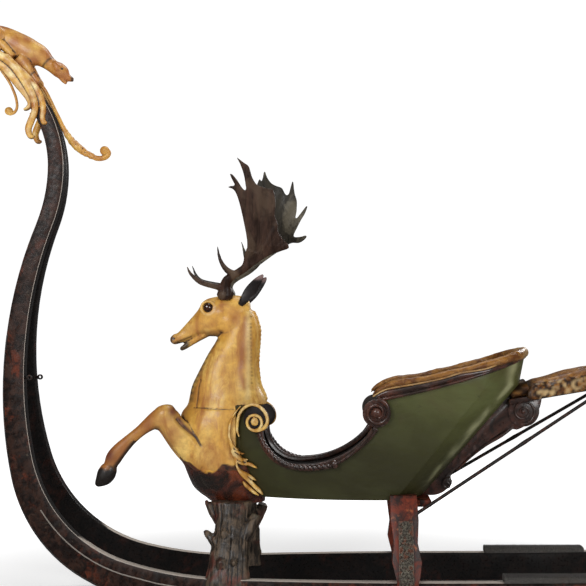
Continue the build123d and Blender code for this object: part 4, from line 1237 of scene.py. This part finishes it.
FAR_PALM = [
    (-258, 1092), (-262, 1150), (-265, 1200), (-266, 1270), (-262, 1330), (-250, 1362),
    (-236, 1396), (-230, 1385), (-224, 1400), (-219, 1423), (-210, 1400), (-190, 1378),
    (-166, 1368), (-156, 1360), (-146, 1340), (-136, 1342), (-130, 1364), (-122, 1389),
    (-117, 1362), (-115, 1340), (-106, 1314), (-108, 1280), (-113, 1252), (-97, 1270),
    (-72, 1302), (-80, 1276), (-94, 1252), (-106, 1225), (-118, 1196), (-98, 1194),
    (-73, 1197), (-84, 1182), (-100, 1174), (-135, 1168), (-190, 1128), (-230, 1098),
]


PALM_START, PALM_BLEND = 1085, 60       # where the beam widens, and how soon it is all palm
PALM_OUT, PALM_THICK = 62, 11
BURR_BUMPS = 11


class SLEIGH_OT_antlers(bpy.types.Operator):
    """Shapes the two real antlers, each with its own palm and tines"""

    bl_idname = "sleigh.antlers"
    bl_label = "Antlers"

    def execute(self, context):
        kinds = finishes(context)
        for near, side, tines, palm, finish in (
            (True, "left", NEAR_TINES, NEAR_PALM, "near_antler"),
            (False, "right", FAR_TINES, FAR_PALM, "far_antler"),
        ):
            turn = -1 if near else 1
            bm = bmesh.new()
            limb(bm, BEAM, 18, 4, near)
            for tine in tines:
                limb(bm, tine, 14, 4, near)
            for k in range(BURR_BUMPS):
                a = 2 * math.pi * k / BURR_BUMPS
                limb(bm, [(-334 + 24 * math.cos(a) - 2, 27 + 17 * math.sin(a), 990, 4, 5),
                          (-334 + 22 * math.cos(a), 27 + 16 * math.sin(a), 1002, 4, 5),
                          (-334 + 16 * math.cos(a), 29 + 12 * math.sin(a), 1016, 2, 3)],
                     8, 1, near)
            sheet_from(bm, palm, turn * PALM_OUT, PALM_THICK)
            bm = meld(bm, 0.0027, 3)
            for vert in bm.verts:
                p = vert.co / MM
                if p.z > PALM_START:
                    rise = p.z - 1096
                    cup = ((p.x + 190) / 100) ** 2 * 9 - 6 + max(0, rise - 200) * 0.05
                    blend = clamped((p.z - PALM_START) / PALM_BLEND)
                    vert.co.y += turn * MM * blend * (0.2 * max(rise, 0) - cup)
                    groove = noise.noise(Vector((math.atan2(p.z - 1060, p.x + 250) * 13,
                                                 p.length * 0.006, side == "left"))) * 2.2
                    vert.co += vert.normal * groove * MM * blend
            add_hollows(bm, 6, 2)
            tint(bm, "pale", lambda p, n: 0.6 if near and p.z >= 1090 else 1.0)
            as_piece(bm, f"natural_antler_{side}", kinds[finish], (f"antler_{side}",),
                     angle=75)
        return {"FINISHED"}


TRUNK = [(60, -306, 219, 74, 31), (80, -306, 217, 74, 30), (100, -305, 214, 71, 29),
         (140, -304, 196, 64, 32), (190, -301, 170, 62, 36), (230, -300, 146, 56, 38),
         (270, -300, 122, 55, 40), (300, -302, 104, 60, 40), (326, -306, 88, 68, 44)]
TRUNK_STUBS = [
    [(-340, 112, 262, 20), (-366, 104, 292, 14), (-384, 94, 318, 9), (-390, 90, 329, 6)],
    [(-335, 168, 196, 22), (-358, 160, 214, 17), (-378, 152, 232, 11), (-386, 148, 241, 6)],
    [(-275, 152, 210, 32), (-250, 146, 240, 25), (-232, 136, 268, 20), (-222, 130, 288, 16)],
]
TRUNK_KNOTS = [(-318, 232, 15), (-322, 146, 17), (-286, 150, 12)]
TRUNK_X = -303


def trunk_row(z):
    """A trunk's middle x, middle y, half length and half width at height z, in mm."""
    return between(TRUNK, z)[1:]


class SLEIGH_OT_trunks(bpy.types.Operator):
    """Carves the two bark trunks that stand over the runners and carry the belly"""

    bl_idname = "sleigh.trunks"
    bl_label = "Trunks"

    def execute(self, context):
        depth = context.scene.sleigh_carving.bark_depth
        for near, side, turn in SIDES:
            bm = bmesh.new()
            stations = [(Vector((x, turn * y, z)) * MM, Vector((a, 0, 0)) * MM,
                         Vector((0, b, 0)) * MM) for z, x, y, a, b in flowing(TRUNK, 4)]
            loft(bm, stations, 32)
            for stub in TRUNK_STUBS:
                limb(bm, stub, 16, 3, near)
            for x, z, r in TRUNK_KNOTS:
                _, y, _, half = trunk_row(z)
                bark = y + half
                boss(bm, x, z, [(bark - 6, r), (bark + 2, r - 2), (bark + 7, r - 8)], 14, 2, near)
            bm = meld(bm, 0.0036, 2)
            for vert in bm.verts:
                p = vert.co / MM
                a = math.atan2(p.y - turn * trunk_row(p.z)[1], p.x - TRUNK_X)
                wave = noise.noise(Vector((a * 7.5, p.z * 0.012, side == "left")))
                small = noise.noise(p * 0.05)
                ridge = 1 - 2 * abs(wave)
                vert.co += vert.normal * depth * (0.55 * ridge - 0.55 + 0.35 * small)
            add_hollows(bm, 6, 1)
            as_piece(bm, f"bark_trunk_{side}", finishes(context)["bark"],
                     (f"trunk_{side}",), angle=75)
        return {"FINISHED"}


# Half width over the straps at heights up the rear posts: z, y
POST_FACE = [(40, 292), (100, 292), (117, 286), (160, 270), (215, 250), (282, 225), (338, 205)]
STUD_PITCH = 9.5
STUDS_FROM, STUDS_TO = 52, 276
STUDS_REAR = 267
STRAP_EDGES = (227, 269)


class SLEIGH_OT_posts(bpy.types.Operator):
    """Paints the rear posts and their cross piece, and studs the straps"""

    bl_idname = "sleigh.posts"
    bl_label = "Rear posts"

    def execute(self, context):
        kinds = finishes(context)
        for near, side, turn in SIDES:
            eased(f"rear_post_{side}", kinds["post"], 0.004)
            bm = from_frame(f"post_strap_{side}", 0.001)
            z = STUDS_FROM
            while z < STUDS_TO:
                out = between(POST_FACE, z)[1] + 4
                for k in range(4):
                    x = 231.5 + k * 11 + (5.5 if int(z / STUD_PITCH) % 2 else 0)
                    if x > STUDS_REAR:
                        continue
                    made = bmesh.ops.create_cone(
                        bm, cap_ends=True, segments=4, radius1=0.0062, radius2=0.0008,
                        depth=0.0035, matrix=Matrix.Translation(
                            Vector((x, turn * (out + 1.4), z)) * MM)
                        @ Matrix.Rotation(math.radians(90 if near else -90), 4, "X"))["verts"]
                    bmesh.ops.scale(bm, vec=(1, 1, 1.15), verts=made, space=Matrix.Translation(
                        -Vector((x, turn * out, z)) * MM))
                z += STUD_PITCH
            for x in STRAP_EDGES:
                limb(bm, [(x, between(POST_FACE, z)[1] + 5, z, 2)
                          for z in (46, 100, 160, 215, 280)], 8, 2, near)
            add_hollows(bm, 5, 0)
            as_piece(bm, f"studded_strap_{side}", kinds["strap"],
                     (f"post_strap_{side}",), angle=30)
        eased("rear_bolster", kinds["post"], 0.003)
        return {"FINISHED"}


# ---- Soft pieces

def inflated(bm, voxel, context, cap, pressure=4.0):
    """Swells a closed form with cloth pressure, as stuffing fills a leather cover. No point
    moves further than the cap, in metres."""
    bm = meld(bm, voxel, 1)
    mesh = bpy.data.meshes.new("cover")
    bm.to_mesh(mesh)
    bm.free()
    rest = [v.co.copy() for v in mesh.vertices]
    cover = bpy.data.objects.new("cover", mesh)
    context.scene.collection.objects.link(cover)
    cloth = cover.modifiers.new("Cloth", "CLOTH")
    cloth.settings.quality = 5
    cloth.settings.use_pressure = True
    cloth.settings.uniform_pressure_force = pressure
    cloth.settings.effector_weights.gravity = 0
    frames = context.scene.sleigh_carving.cloth_frames
    cloth.point_cache.frame_end = frames
    for step in range(1, frames + 1):
        context.scene.frame_set(step)
    graph = context.evaluated_depsgraph_get()
    puffed = bpy.data.meshes.new_from_object(cover.evaluated_get(graph))
    bpy.data.objects.remove(cover)
    context.scene.frame_set(1)
    out = taken(puffed)
    bpy.data.meshes.remove(mesh)
    out.verts.ensure_lookup_table()
    for vert, start in zip(out.verts, rest):
        move = vert.co - start
        if move.length > cap:
            vert.co = start + move * (cap / move.length)
    return relaxed(out)


LEATHER_ROLL = [
    (146, 668, 678), (164, 680, 697), (186, 690, 711), (208, 695, 721), (237, 700, 726),
    (268, 705, 728), (330, 717, 738), (372, 727, 748), (417, 741, 757), (460, 747, 769),
    (505, 756, 781), (566, 781, 803), (642, 812, 830),
]
LEATHER_BACK = (650, 792, 826)      # x, low and high of the roll at the middle of the back
LEATHER_CORNER = 505                # where the roll turns from the side into the back
PIPING_END = 590


class SLEIGH_OT_back_padding(bpy.types.Operator):
    """Lays the leather roll along the top of the sides and round the back"""

    bl_idname = "sleigh.back_padding"
    bl_label = "Leather roll"

    def execute(self, context):
        kinds = finishes(context)
        bm = bmesh.new()
        side = [(x, wall_y(x, (low + high) / 2), low, high)
                for x, low, high in flowing(LEATHER_ROLL, 3)]
        near_run = [r for r in side if r[0] <= LEATHER_CORNER]
        _, corner_y, low, high = near_run[-1]
        back_x, back_low, back_high = LEATHER_BACK
        turns = []
        for k in range(1, 24):
            angle = math.pi * k / 24
            t = math.sin(angle) ** 0.8
            turns.append((LEATHER_CORNER + (back_x - LEATHER_CORNER) * t,
                          corner_y * math.cos(angle),
                          low + (back_low - low) * t, high + (back_high - high) * t))
        path = near_run + turns + [(x, -y, lo, hi) for x, y, lo, hi in reversed(near_run)]
        points = [Vector((x, -y, (lo + hi) / 2 - 4)) * MM for x, y, lo, hi in path]
        stations = []
        for i, (_, _, lo, hi) in enumerate(path):
            out, up = across(points, i, UPWARD)
            end = min(i, len(path) - 1 - i)
            width = 16 if end > 2 else 8 + 3 * end
            stations.append((points[i] - out * 0.007, out * width * MM,
                             up * max((hi - lo) / 2 + 1, 5) * MM))
        loft(bm, stations, 20)
        bm = inflated(bm, 0.005, context, 0.003, 3.0)
        for vert in bm.verts:
            p = vert.co / MM
            pleat = math.sin(p.x * 0.055 + 2 * noise.noise(p * 0.01)) * 0.9
            vert.co += vert.normal * (pleat + noise.noise(p * 0.05) * 1.5) * MM
        # Painted shade on the roll's underside, broken up by noise.
        tint(bm, "tuft", lambda p, n: max(0.0, noise.noise(p * 0.035) + 0.25 - n.z) * 0.55)
        tint(bm, "worn", lambda p, n: clamped((p.x - 616) / 30, 0.45))
        roll = as_piece(bm, "leather_roll", kinds["leather"], ("back_padding",),
                        rounding=1, angle=80)
        bm = bmesh.new()
        for near in (True, False):
            limb(bm, [(x, y + 13, lo - 1, 2.4) for x, y, lo, _ in side if x < PIPING_END],
                 8, 1, near)
        tint(bm, "worn", lambda p, n: 0.45 + noise.noise(p * 0.03) * 0.7)
        as_piece(bm, "roll_piping", kinds["leather"], angle=60)
        return {"FINISHED"}


# Plan of the cushion: x along its sides, and the rounded corner at its back as x and y
CUSHION_SIDE = (112, 150, 200, 250, 300, 340)
CUSHION_CORNER = [(372, 155), (398, 120), (412, 70)]
CUSHION_BACK = (418, 0)
CUSHION_FOOT, CUSHION_THICK = 473, 34
SEAT_TOP = 470.5
BUTTONS = [(x, y) for x in (190, 275, 355) for y in (-95, 0, 95)]


class SLEIGH_OT_seat_cushion(bpy.types.Operator):
    """Stuffs the cushion on the seat board, with sunk buttons"""

    bl_idname = "sleigh.seat_cushion"
    bl_label = "Seat cushion"

    def execute(self, context):
        kinds = finishes(context)
        bm = bmesh.new()
        half = [(x, wall_y(x, 492) - 30) for x in CUSHION_SIDE] + CUSHION_CORNER
        loop = half + [CUSHION_BACK] + [(x, -y) for x, y in reversed(half)]
        verts = [bm.verts.new(Vector((x, y, CUSHION_FOOT)) * MM) for x, y in loop]
        face = bm.faces.new(verts)
        grown = bmesh.ops.extrude_face_region(bm, geom=[face])["geom"]
        moved = [g for g in grown if isinstance(g, bmesh.types.BMVert)]
        bmesh.ops.translate(bm, vec=UPWARD * CUSHION_THICK * MM, verts=moved)
        bm = inflated(bm, 0.0055, context, 0.010)
        for vert in bm.verts:
            vert.co.z = max(vert.co.z, SEAT_TOP * MM)
            if vert.co.z > 0.495:
                for x, y in BUTTONS:
                    d = math.hypot(vert.co.x / MM - x, vert.co.y / MM - y)
                    vert.co.z -= 0.010 * math.exp(-(d / 15) ** 2)
        tint(bm, "tuft", lambda p, n: max(math.exp(-(math.hypot(p.x - x, p.y - y) / 6) ** 2)
                                          for x, y in BUTTONS) if p.z > 480 else 0.0)
        cushion = as_piece(bm, "stuffed_cushion", kinds["leather"], ("seat_cushion",),
                           rounding=1, angle=80)
        return {"FINISHED"}


def saddle_floor(x):
    """Height of the saddle beam's top at x, in mm."""
    return 651 + (x - 590) * 0.168


SADDLE_HANG = 17            # how far the pad's sides hang below the beam's top
SADDLE_TALL = 62
SADDLE_BEAM_Y = 61          # clear of the beam
SADDLE_TOP = [(642, 712), (695, 719), (731, 728), (767, 739), (802, 748), (852, 757), (920, 768),
              (1000, 779), (1090, 788), (1160, 792)]
SADDLE_APRON = [(596, 0, 664, 50, 18), (612, 0, 673, 58, 27), (632, 0, 682, 66, 30),
                (652, 0, 688, 72, 30)]
BRACKET_LEAF = [(392, 379, 3), (400, 372, 3), (396, 362, 3), (384, 364, 3), (378, 378, 3),
                (386, 392, 3), (402, 396, 3)]
BRACKET_RIB = [(424, 418, 3), (470, 462, 4), (520, 500, 4), (570, 530, 5), (610, 560, 4)]
STAY_FOOT, STAY_HEAD = (279, 206, 299), (928, 44, 699)
STAY_COLLAR = 0.53          # where the stay has a forged ring, as a share of its length


def saddle_share(p):
    """How far up the saddle's side a place lies, 0 at the beam's top and 1 near the seat."""
    return (p.z - saddle_floor(p.x)) / SADDLE_TALL


class SLEIGH_OT_saddle(bpy.types.Operator):
    """Stuffs the driver's straddle seat and dresses the beam and bracket under it"""

    bl_idname = "sleigh.saddle"
    bl_label = "Straddle seat"

    def execute(self, context):
        kinds = finishes(context)
        bm = bmesh.new()
        stations = []
        rows = flowing(SADDLE_TOP, 3)
        for i, (x, top) in enumerate(rows):
            low = saddle_floor(x) - SADDLE_HANG
            half = (top - low) / 2 - 2
            end = min(i, len(rows) - 1 - i)
            shrink = 0.80 + 0.2 * min(end / 2, 1)
            centre = Vector((x, 0, low + half)) * MM
            stations.append((centre, Vector((0, 84 * shrink, 0)) * MM,
                             Vector((0, 0, half * shrink)) * MM))
        skirt = loft(bm, stations, 36)
        for vert in skirt:
            p = vert.co / MM
            low, top = saddle_floor(p.x) - SADDLE_HANG, between(SADDLE_TOP, p.x)[1]
            if p.z < (low + top) / 2:
                vert.co.y = math.copysign(max(abs(p.y), min(78, abs(p.y) * 2.2)), p.y) * MM
        bm = inflated(bm, 0.0055, context, 0.007)
        for vert in bm.verts:
            p = vert.co / MM
            low = saddle_floor(p.x)
            under = low + 0.6 if abs(p.y) < SADDLE_BEAM_Y else low - 16
            vert.co.z = max(p.z, under) * MM
            if saddle_share(p) < 0.60 and abs(p.y) > SADDLE_BEAM_Y:
                tuft = (noise.noise(Vector((p.x * 0.075, p.y * 0.03, p.z * 0.06)))
                        + 0.6 * noise.noise(Vector((p.x * 0.15, 0, p.z * 0.15))))
                vert.co.y += math.copysign(tuft * 4.0 - 0.5, p.y) * MM
            else:
                vert.co += vert.normal * noise.noise(p * 0.03) * 2.0 * MM

        def tuft(p, n):
            front = clamped((672 - p.x) / 16, 0.85)
            if saddle_share(p) > 0.62 or abs(p.y) < 40:
                return front
            value = (noise.noise(Vector((p.x * 0.085, p.y * 0.02, p.z * 0.07)))
                     + 0.6 * noise.noise(Vector((p.x * 0.2, 3, p.z * 0.16))))
            return max(front, clamped(0.55 + value * 2.8) * 0.95)

        def worn(p, n):
            if saddle_share(p) > 0.60 or abs(p.y) < 55 or p.x < 676:
                return 0.0
            return max(0.0, noise.noise(p * 0.06) * 1.6 + 0.15)

        add_hollows(bm, 5, 1)
        tint(bm, "tuft", tuft)
        tint(bm, "worn", worn)
        pad = as_piece(bm, "stuffed_saddle", kinds["leather"], ("saddle_pad",),
                       rounding=1, angle=80)
        eased("saddle_beam", kinds["dark"], 0.003)
        apron = bmesh.new()
        limb(apron, SADDLE_APRON, 28, 3)
        tint(apron, "tuft", lambda p, n: 0.8 + noise.noise(p * 0.05))
        as_piece(apron, "saddle_apron", kinds["leather"], angle=70)
        bm = from_frame("saddle_bracket", 0.004)
        band = spiral(BRACKET_COIL, (9, 42), 200, -20, 34, (2.6, 4.8))
        for near in (True, False):
            blade(bm, band, 33, 4, middle_plane, near, 10, 1)
            boss(bm, *BRACKET_COIL, [(30, 8), (37, 6), (39, 2)], 14, 2, near)
            blade(bm, BRACKET_LEAF, 33, 3, middle_plane, near, 8, 3)
            blade(bm, BRACKET_RIB, 23, 4, middle_plane, near, 8, 3)
        add_hollows(bm, 3, 0)
        as_piece(bm, "carved_bracket", kinds["dark"], ("saddle_bracket",), angle=40)
        rows = []
        for k in range(25):
            t = k / 24
            radius = 5.6 + 2.6 * math.exp(-((t - STAY_COLLAR) / 0.014) ** 2)
            rows.append((*Vector(STAY_FOOT).lerp(Vector(STAY_HEAD), t), radius))
        for near, side, _ in SIDES:
            bm = bmesh.new()
            limb(bm, rows, 14, 1, near)
            as_piece(bm, f"forged_stay_{side}", kinds["iron"], (f"stay_{side}",), angle=60)
        return {"FINISHED"}


MAT_RIBS = 44


class SLEIGH_OT_mats(bpy.types.Operator):
    """Lays the ribbed bristle mats on the runners"""

    bl_idname = "sleigh.mats"
    bl_label = "Foot mats"

    def execute(self, context):
        for near, side, turn in SIDES:
            low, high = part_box(f"foot_mat_{side}")
            bm = from_frame(f"foot_mat_{side}", 0.001)
            for k in range(MAT_RIBS):
                x = (low.x + (high.x - low.x) * (k + 0.5) / MAT_RIBS) / MM
                tall = 4.2 + 1.6 * noise.noise(Vector((k * 0.9, 0, turn)))
                limb(bm, [(x, HALF_GAUGE - 30, 117, 2, 2), (x, HALF_GAUGE - 28, 117.5, 3, tall),
                          (x, HALF_GAUGE, 118, 3, tall + 0.6),
                          (x, HALF_GAUGE + 28, 117.5, 3, tall),
                          (x, HALF_GAUGE + 30, 117, 2, 2)], 8, 2, near, FORWARD)
            as_piece(bm, f"bristle_mat_{side}", finishes(context)["bristle"],
                     (f"foot_mat_{side}",), angle=40)
        return {"FINISHED"}


# Leaves, each with how far it stands out and its rows of x, z and half width
FOLIAGE = [
    (34, [(-1102, 1770, 12), (-1058, 1738, 15), (-1032, 1710, 16), (-1005, 1677, 16),
          (-981, 1644, 13), (-971, 1617, 9.4), (-981, 1601, 7.3), (-993, 1597, 4)]),
    (40, [(-1100, 1796, 13), (-1052, 1764, 13.4), (-1021, 1738, 14.7), (-991, 1698, 14.7),
          (-968, 1657, 13.4), (-956, 1624, 12), (-955, 1591, 11.4), (-968, 1557, 12),
          (-976, 1531, 11.4), (-968, 1507, 8.7), (-955, 1509, 4)]),
    (36, [(-1052, 1774, 12), (-1021, 1742, 12), (-985, 1708, 12), (-955, 1671, 12),
          (-935, 1631, 11.4), (-928, 1597, 10), (-931, 1571, 9.4), (-925, 1552, 8),
          (-916, 1557, 3.3)]),
    (26, [(-1082, 1791, 5.3), (-1062, 1803, 6), (-1047, 1790, 6), (-1048, 1771, 5.3),
          (-1062, 1764, 4)]),
    (30, [(-1126, 1792, 9), (-1104, 1800, 10), (-1080, 1786, 10), (-1066, 1764, 8)]),
]
# The core that the leaves stand on
FOLIAGE_CORE = [(-1110, 0, 1786, 30, 16), (-1060, 0, 1756, 36, 26), (-1010, 0, 1704, 38, 30),
                (-965, 0, 1640, 36, 26), (-946, 0, 1590, 32, 14), (-942, 0, 1572, 26, 5)]
RIGHT_TENDRIL = [(-971, 0, 1711, 6), (-940, 0, 1679, 6), (-921, 0, 1647, 6), (-901, 0, 1604, 6.5),
                 (-885, 0, 1571, 7), (-871, 0, 1541, 8), (-851, 0, 1510, 11), (-824, 0, 1480, 13),
                 (-791, 0, 1457, 10.5), (-761, 0, 1444, 9), (-734, 0, 1447, 8.5),
                 (-722, 0, 1462, 8), (-732, 0, 1477, 6)]
LEFT_TENDRIL = [(-1082, 0, 1742, 5), (-1052, 0, 1698, 4.7), (-1037, 0, 1667, 4.7),
                (-1028, 0, 1641, 4.7), (-1025, 0, 1614, 4.7), (-1033, 0, 1596, 5),
                (-1050, 0, 1590, 6)]


HOUND = [(-1172, 0, 1852, 10, 12), (-1150, 0, 1856, 26, 26), (-1110, 0, 1850, 33, 34),
         (-1070, 0, 1842, 31, 37), (-1024, 0, 1816, 32, 44), (-985, 0, 1793, 32, 46),
         (-950, 0, 1782, 27, 36), (-925, 0, 1762, 20, 25), (-905, 0, 1746, 17, 22),
         (-888, 0, 1736, 19, 25), (-872, 0, 1724, 16, 22), (-860, 0, 1712, 11, 13),
         (-846, 0, 1705, 8, 9), (-838, 0, 1703, 5, 6)]
HOUND_JAW = [(-884, 0, 1716, 9), (-872, 0, 1700, 7), (-862, 0, 1690, 4, 5)]
# The hound's haunch, foreleg, ear and hind leg, each with the sides and steps of its skin
HOUND_LIMBS = [
    ([(-1120, 18, 1850, 18, 30), (-1092, 24, 1846, 20, 34), (-1062, 20, 1836, 14, 24)], 16, 3),
    ([(-1010, 18, 1772, 14, 26), (-985, 22, 1740, 13, 17), (-966, 22, 1712, 10, 12),
      (-952, 22, 1692, 10, 11), (-946, 22, 1686, 6, 7)], 14, 3),
    ([(-900, 14, 1758, 6, 9), (-890, 18, 1744, 6, 11), (-884, 19, 1730, 4, 8)], 10, 2),
    ([(-1080, 22, 1826, 16, 18), (-1050, 26, 1796, 12, 13), (-1030, 26, 1772, 10)], 12, 3),
]
HOUND_EYE = (-872, 15, 1736)


class SLEIGH_OT_finial(bpy.types.Operator):
    """Carves the finial: leaves, tendrils and the running hound"""

    bl_idname = "sleigh.finial"
    bl_label = "Finial"

    def execute(self, context):
        kinds = finishes(context)
        bm = bmesh.new()
        limb(bm, FOLIAGE_CORE, 18, 3)
        for near in (True, False):
            for lift, leaf in FOLIAGE:
                blade(bm, leaf, lift, 9, middle_plane, near, 12, 4)
        bm = meld(bm, 0.0026, 1)
        add_hollows(bm, 8, 2)
        tint(bm, "pale", lambda p, n: 0.3 + noise.noise(p * 0.05) if abs(n.y) > 0.8 else 0.0)
        tint(bm, "brown", lambda p, n: 0.38 + noise.noise(p * 0.04) * 0.7
             + max(0.0, 0.8 - abs(n.y)) * 0.6)
        # Painted shade under the leaves: the more a face turns down, the darker.
        tint(bm, "dark", lambda p, n: max(0.0, -n.z - 0.35) * 1.3)
        as_piece(bm, "carved_foliage", kinds["gold"], ("finial_foliage",), angle=75)

        bm = bmesh.new()
        limb(bm, RIGHT_TENDRIL, 14, 4)
        boss(bm, -736, 1469, [(14, 3), (8, 13), (0, 16), (-8, 13), (-14, 3)], 14, 2)
        limb(bm, LEFT_TENDRIL, 12, 4)
        boss(bm, -1052, 1600, [(12, 3), (7, 11), (0, 14), (-7, 11), (-12, 3)], 14, 2)
        bm = meld(bm, 0.0022, 1)
        for vert in bm.verts:
            p = vert.co / MM
            if -870 < p.x < -770:
                vert.co += vert.normal * noise.noise(p * 0.09) * 3 * MM
        add_hollows(bm, 7, 1)
        tint(bm, "brown", lambda p, n: 0.35 + noise.noise(p * 0.05) * 0.5)
        as_piece(bm, "carved_tendrils", kinds["gold"], ("finial_tendrils",), angle=75)

        bm = bmesh.new()
        limb(bm, HOUND, 22, 3)
        limb(bm, HOUND_JAW, 12, 2)
        for near in (True, False):
            for rows, sides, per in HOUND_LIMBS:
                limb(bm, rows, sides, per, near)
        bm = meld(bm, 0.0030, 2)
        eye_x, eye_y, eye_z = HOUND_EYE
        for turn in (-1, 1):
            swell(bm, (eye_x, turn * eye_y, eye_z), 7, -3)
        add_hollows(bm, 7, 2)

        def collar(p, n):
            along = (p.x + 925) * 0.7 - (p.z - 1762) * 0.7
            band = math.exp(-((along - 4) / 4) ** 2) if p.z > 1690 else 0.0
            snout = 1.0 if p.x > -846 else 0.0
            socket = Vector((eye_x, math.copysign(eye_y, p.y), eye_z))
            eye = max(0.0, 1.4 - (p - socket).length / 4)
            return max(band * 0.75, snout * 0.8, eye)

        tint(bm, "dark", collar)
        # Brown paint, stronger on the head, and painted shade on faces that turn down.
        tint(bm, "brown", lambda p, n: 0.60 + noise.noise(p * 0.03) * 0.8
             + (0.25 if p.x > -925 else 0.0) + max(0.0, -n.z) * 0.4)
        as_piece(bm, "carved_hound", kinds["gold"], ("finial_hound",), angle=75)
        return {"FINISHED"}


class SLEIGH_OT_stage(bpy.types.Operator):
    """Sets the plain floor, the soft lights and the camera"""

    bl_idname = "sleigh.stage"
    bl_label = "Studio"

    def execute(self, context):
        studio = context.scene.sleigh_studio
        camera = bpy.data.cameras.new("studio_camera")
        camera.lens = studio.lens
        camera.sensor_width = 36
        camera.shift_x = -0.111
        camera.shift_y = 0.109
        camera.clip_end = 200
        holder = bpy.data.objects.new("studio_camera", camera)
        holder.location = (0.100, -studio.distance, studio.height)
        holder.rotation_euler = (math.radians(90), 0, 0)
        context.scene.collection.objects.link(holder)
        context.scene.camera = holder

        bm = bmesh.new()
        bmesh.ops.create_grid(bm, x_segments=4, y_segments=4, size=60)
        mesh = bpy.data.meshes.new("studio_floor")
        bm.to_mesh(mesh)
        bm.free()
        f = Finish("floor_white", rough=0.9)
        tone = f.mix(f.span(f.noise(0.8, 2), 0.3, 0.7), (0.86, 0.86, 0.86), (0.88, 0.88, 0.88))
        flat = f.add("ShaderNodeVectorMath", Vector=f.place)
        flat.operation = "LENGTH"
        # The floor glows as a light, weakly under and near the sleigh and fully from 2.6 m out, so
        # that it fades into the white surround.
        f.shader.inputs["Emission Color"].default_value = (1, 1, 1, 1)
        f.feed(f.shader.inputs["Emission Strength"],
               f.span(flat.outputs["Value"], 0.9, 2.6, 0.22, 1.0))
        mesh.materials.append(f.done(tone))
        floor = bpy.data.objects.new("studio_floor", mesh)
        floor.visible_glossy = False
        context.scene.collection.objects.link(floor)

        world = bpy.data.worlds.new("studio_surround")
        context.scene.world = world
        world.use_nodes = True
        tree = world.node_tree
        back = tree.nodes["Background"]
        back.inputs["Color"].default_value = (1, 1, 1, 1)
        back.inputs["Strength"].default_value = studio.sky
        soft = tree.nodes.new("ShaderNodeBackground")
        soft.inputs["Color"].default_value = (1, 1, 1, 1)
        soft.inputs["Strength"].default_value = studio.soft
        seen = tree.nodes.new("ShaderNodeLightPath")
        joint = tree.nodes.new("ShaderNodeMixShader")
        tree.links.new(seen.outputs["Is Camera Ray"], joint.inputs[0])
        tree.links.new(soft.outputs["Background"], joint.inputs[1])
        tree.links.new(back.outputs["Background"], joint.inputs[2])
        tree.links.new(joint.outputs["Shader"], tree.nodes["World Output"].inputs["Surface"])
        context.scene.view_settings.view_transform = "Standard"
        for name, place, size, power in (
            ("key_light", (-2.2, -4.0, 3.0), 2.0, studio.key),
            ("fill_light", (2.4, -4.0, 1.9), 2.0, studio.key * 0.55),
            ("top_light", (0.3, 0.4, 4.2), 1.6, studio.key * 0.5),
            ("rim_light", (2.2, 2.6, 2.6), 1.4, studio.key * 0.45),
        ):
            lamp = bpy.data.lights.new(name, "AREA")
            lamp.shape = "DISK"
            lamp.size = size
            lamp.energy = power
            holder = bpy.data.objects.new(name, lamp)
            holder.location = place
            aim = Vector((-0.1, 0, 0.75)) - Vector(place)
            holder.rotation_euler = aim.to_track_quat("-Z", "Y").to_euler()
            context.scene.collection.objects.link(holder)
        return {"FINISHED"}


PIECES = (
    SLEIGH_OT_stage, SLEIGH_OT_runners, SLEIGH_OT_body, SLEIGH_OT_rims, SLEIGH_OT_scrolls,
    SLEIGH_OT_stag, SLEIGH_OT_belly, SLEIGH_OT_antlers, SLEIGH_OT_trunks, SLEIGH_OT_posts,
    SLEIGH_OT_back_padding, SLEIGH_OT_seat_cushion, SLEIGH_OT_saddle, SLEIGH_OT_mats,
    SLEIGH_OT_finial,
)


class SLEIGH_PT_panel(bpy.types.Panel):
    """Lists the pieces of the sleigh and their settings"""

    bl_idname = "SLEIGH_PT_panel"
    bl_label = "Carved Sleigh"
    bl_space_type = "VIEW_3D"
    bl_region_type = "UI"
    bl_category = "Sleigh"

    def draw(self, context):
        for piece in PIECES:
            self.layout.operator(piece.bl_idname)
        for group in ("sleigh_paint", "sleigh_carving", "sleigh_studio"):
            box = self.layout.box()
            settings = getattr(context.scene, group)
            for key in settings.__annotations__:
                box.prop(settings, key)


SETTINGS = (("sleigh_paint", SleighPaint), ("sleigh_carving", SleighCarving),
            ("sleigh_studio", SleighStudio))


def register():
    for _, group in SETTINGS:
        bpy.utils.register_class(group)
    for name, group in SETTINGS:
        setattr(bpy.types.Scene, name, PointerProperty(type=group))
    for item in (*PIECES, SLEIGH_PT_panel):
        bpy.utils.register_class(item)


def unregister():
    for item in (SLEIGH_PT_panel, *reversed(PIECES)):
        bpy.utils.unregister_class(item)
    for name, group in reversed(SETTINGS):
        delattr(bpy.types.Scene, name)
        bpy.utils.unregister_class(group)


def main():
    register()
    for piece in PIECES:
        group, name = piece.bl_idname.split(".")
        getattr(getattr(bpy.ops, group), name)()


if __name__ == "__main__":
    main()
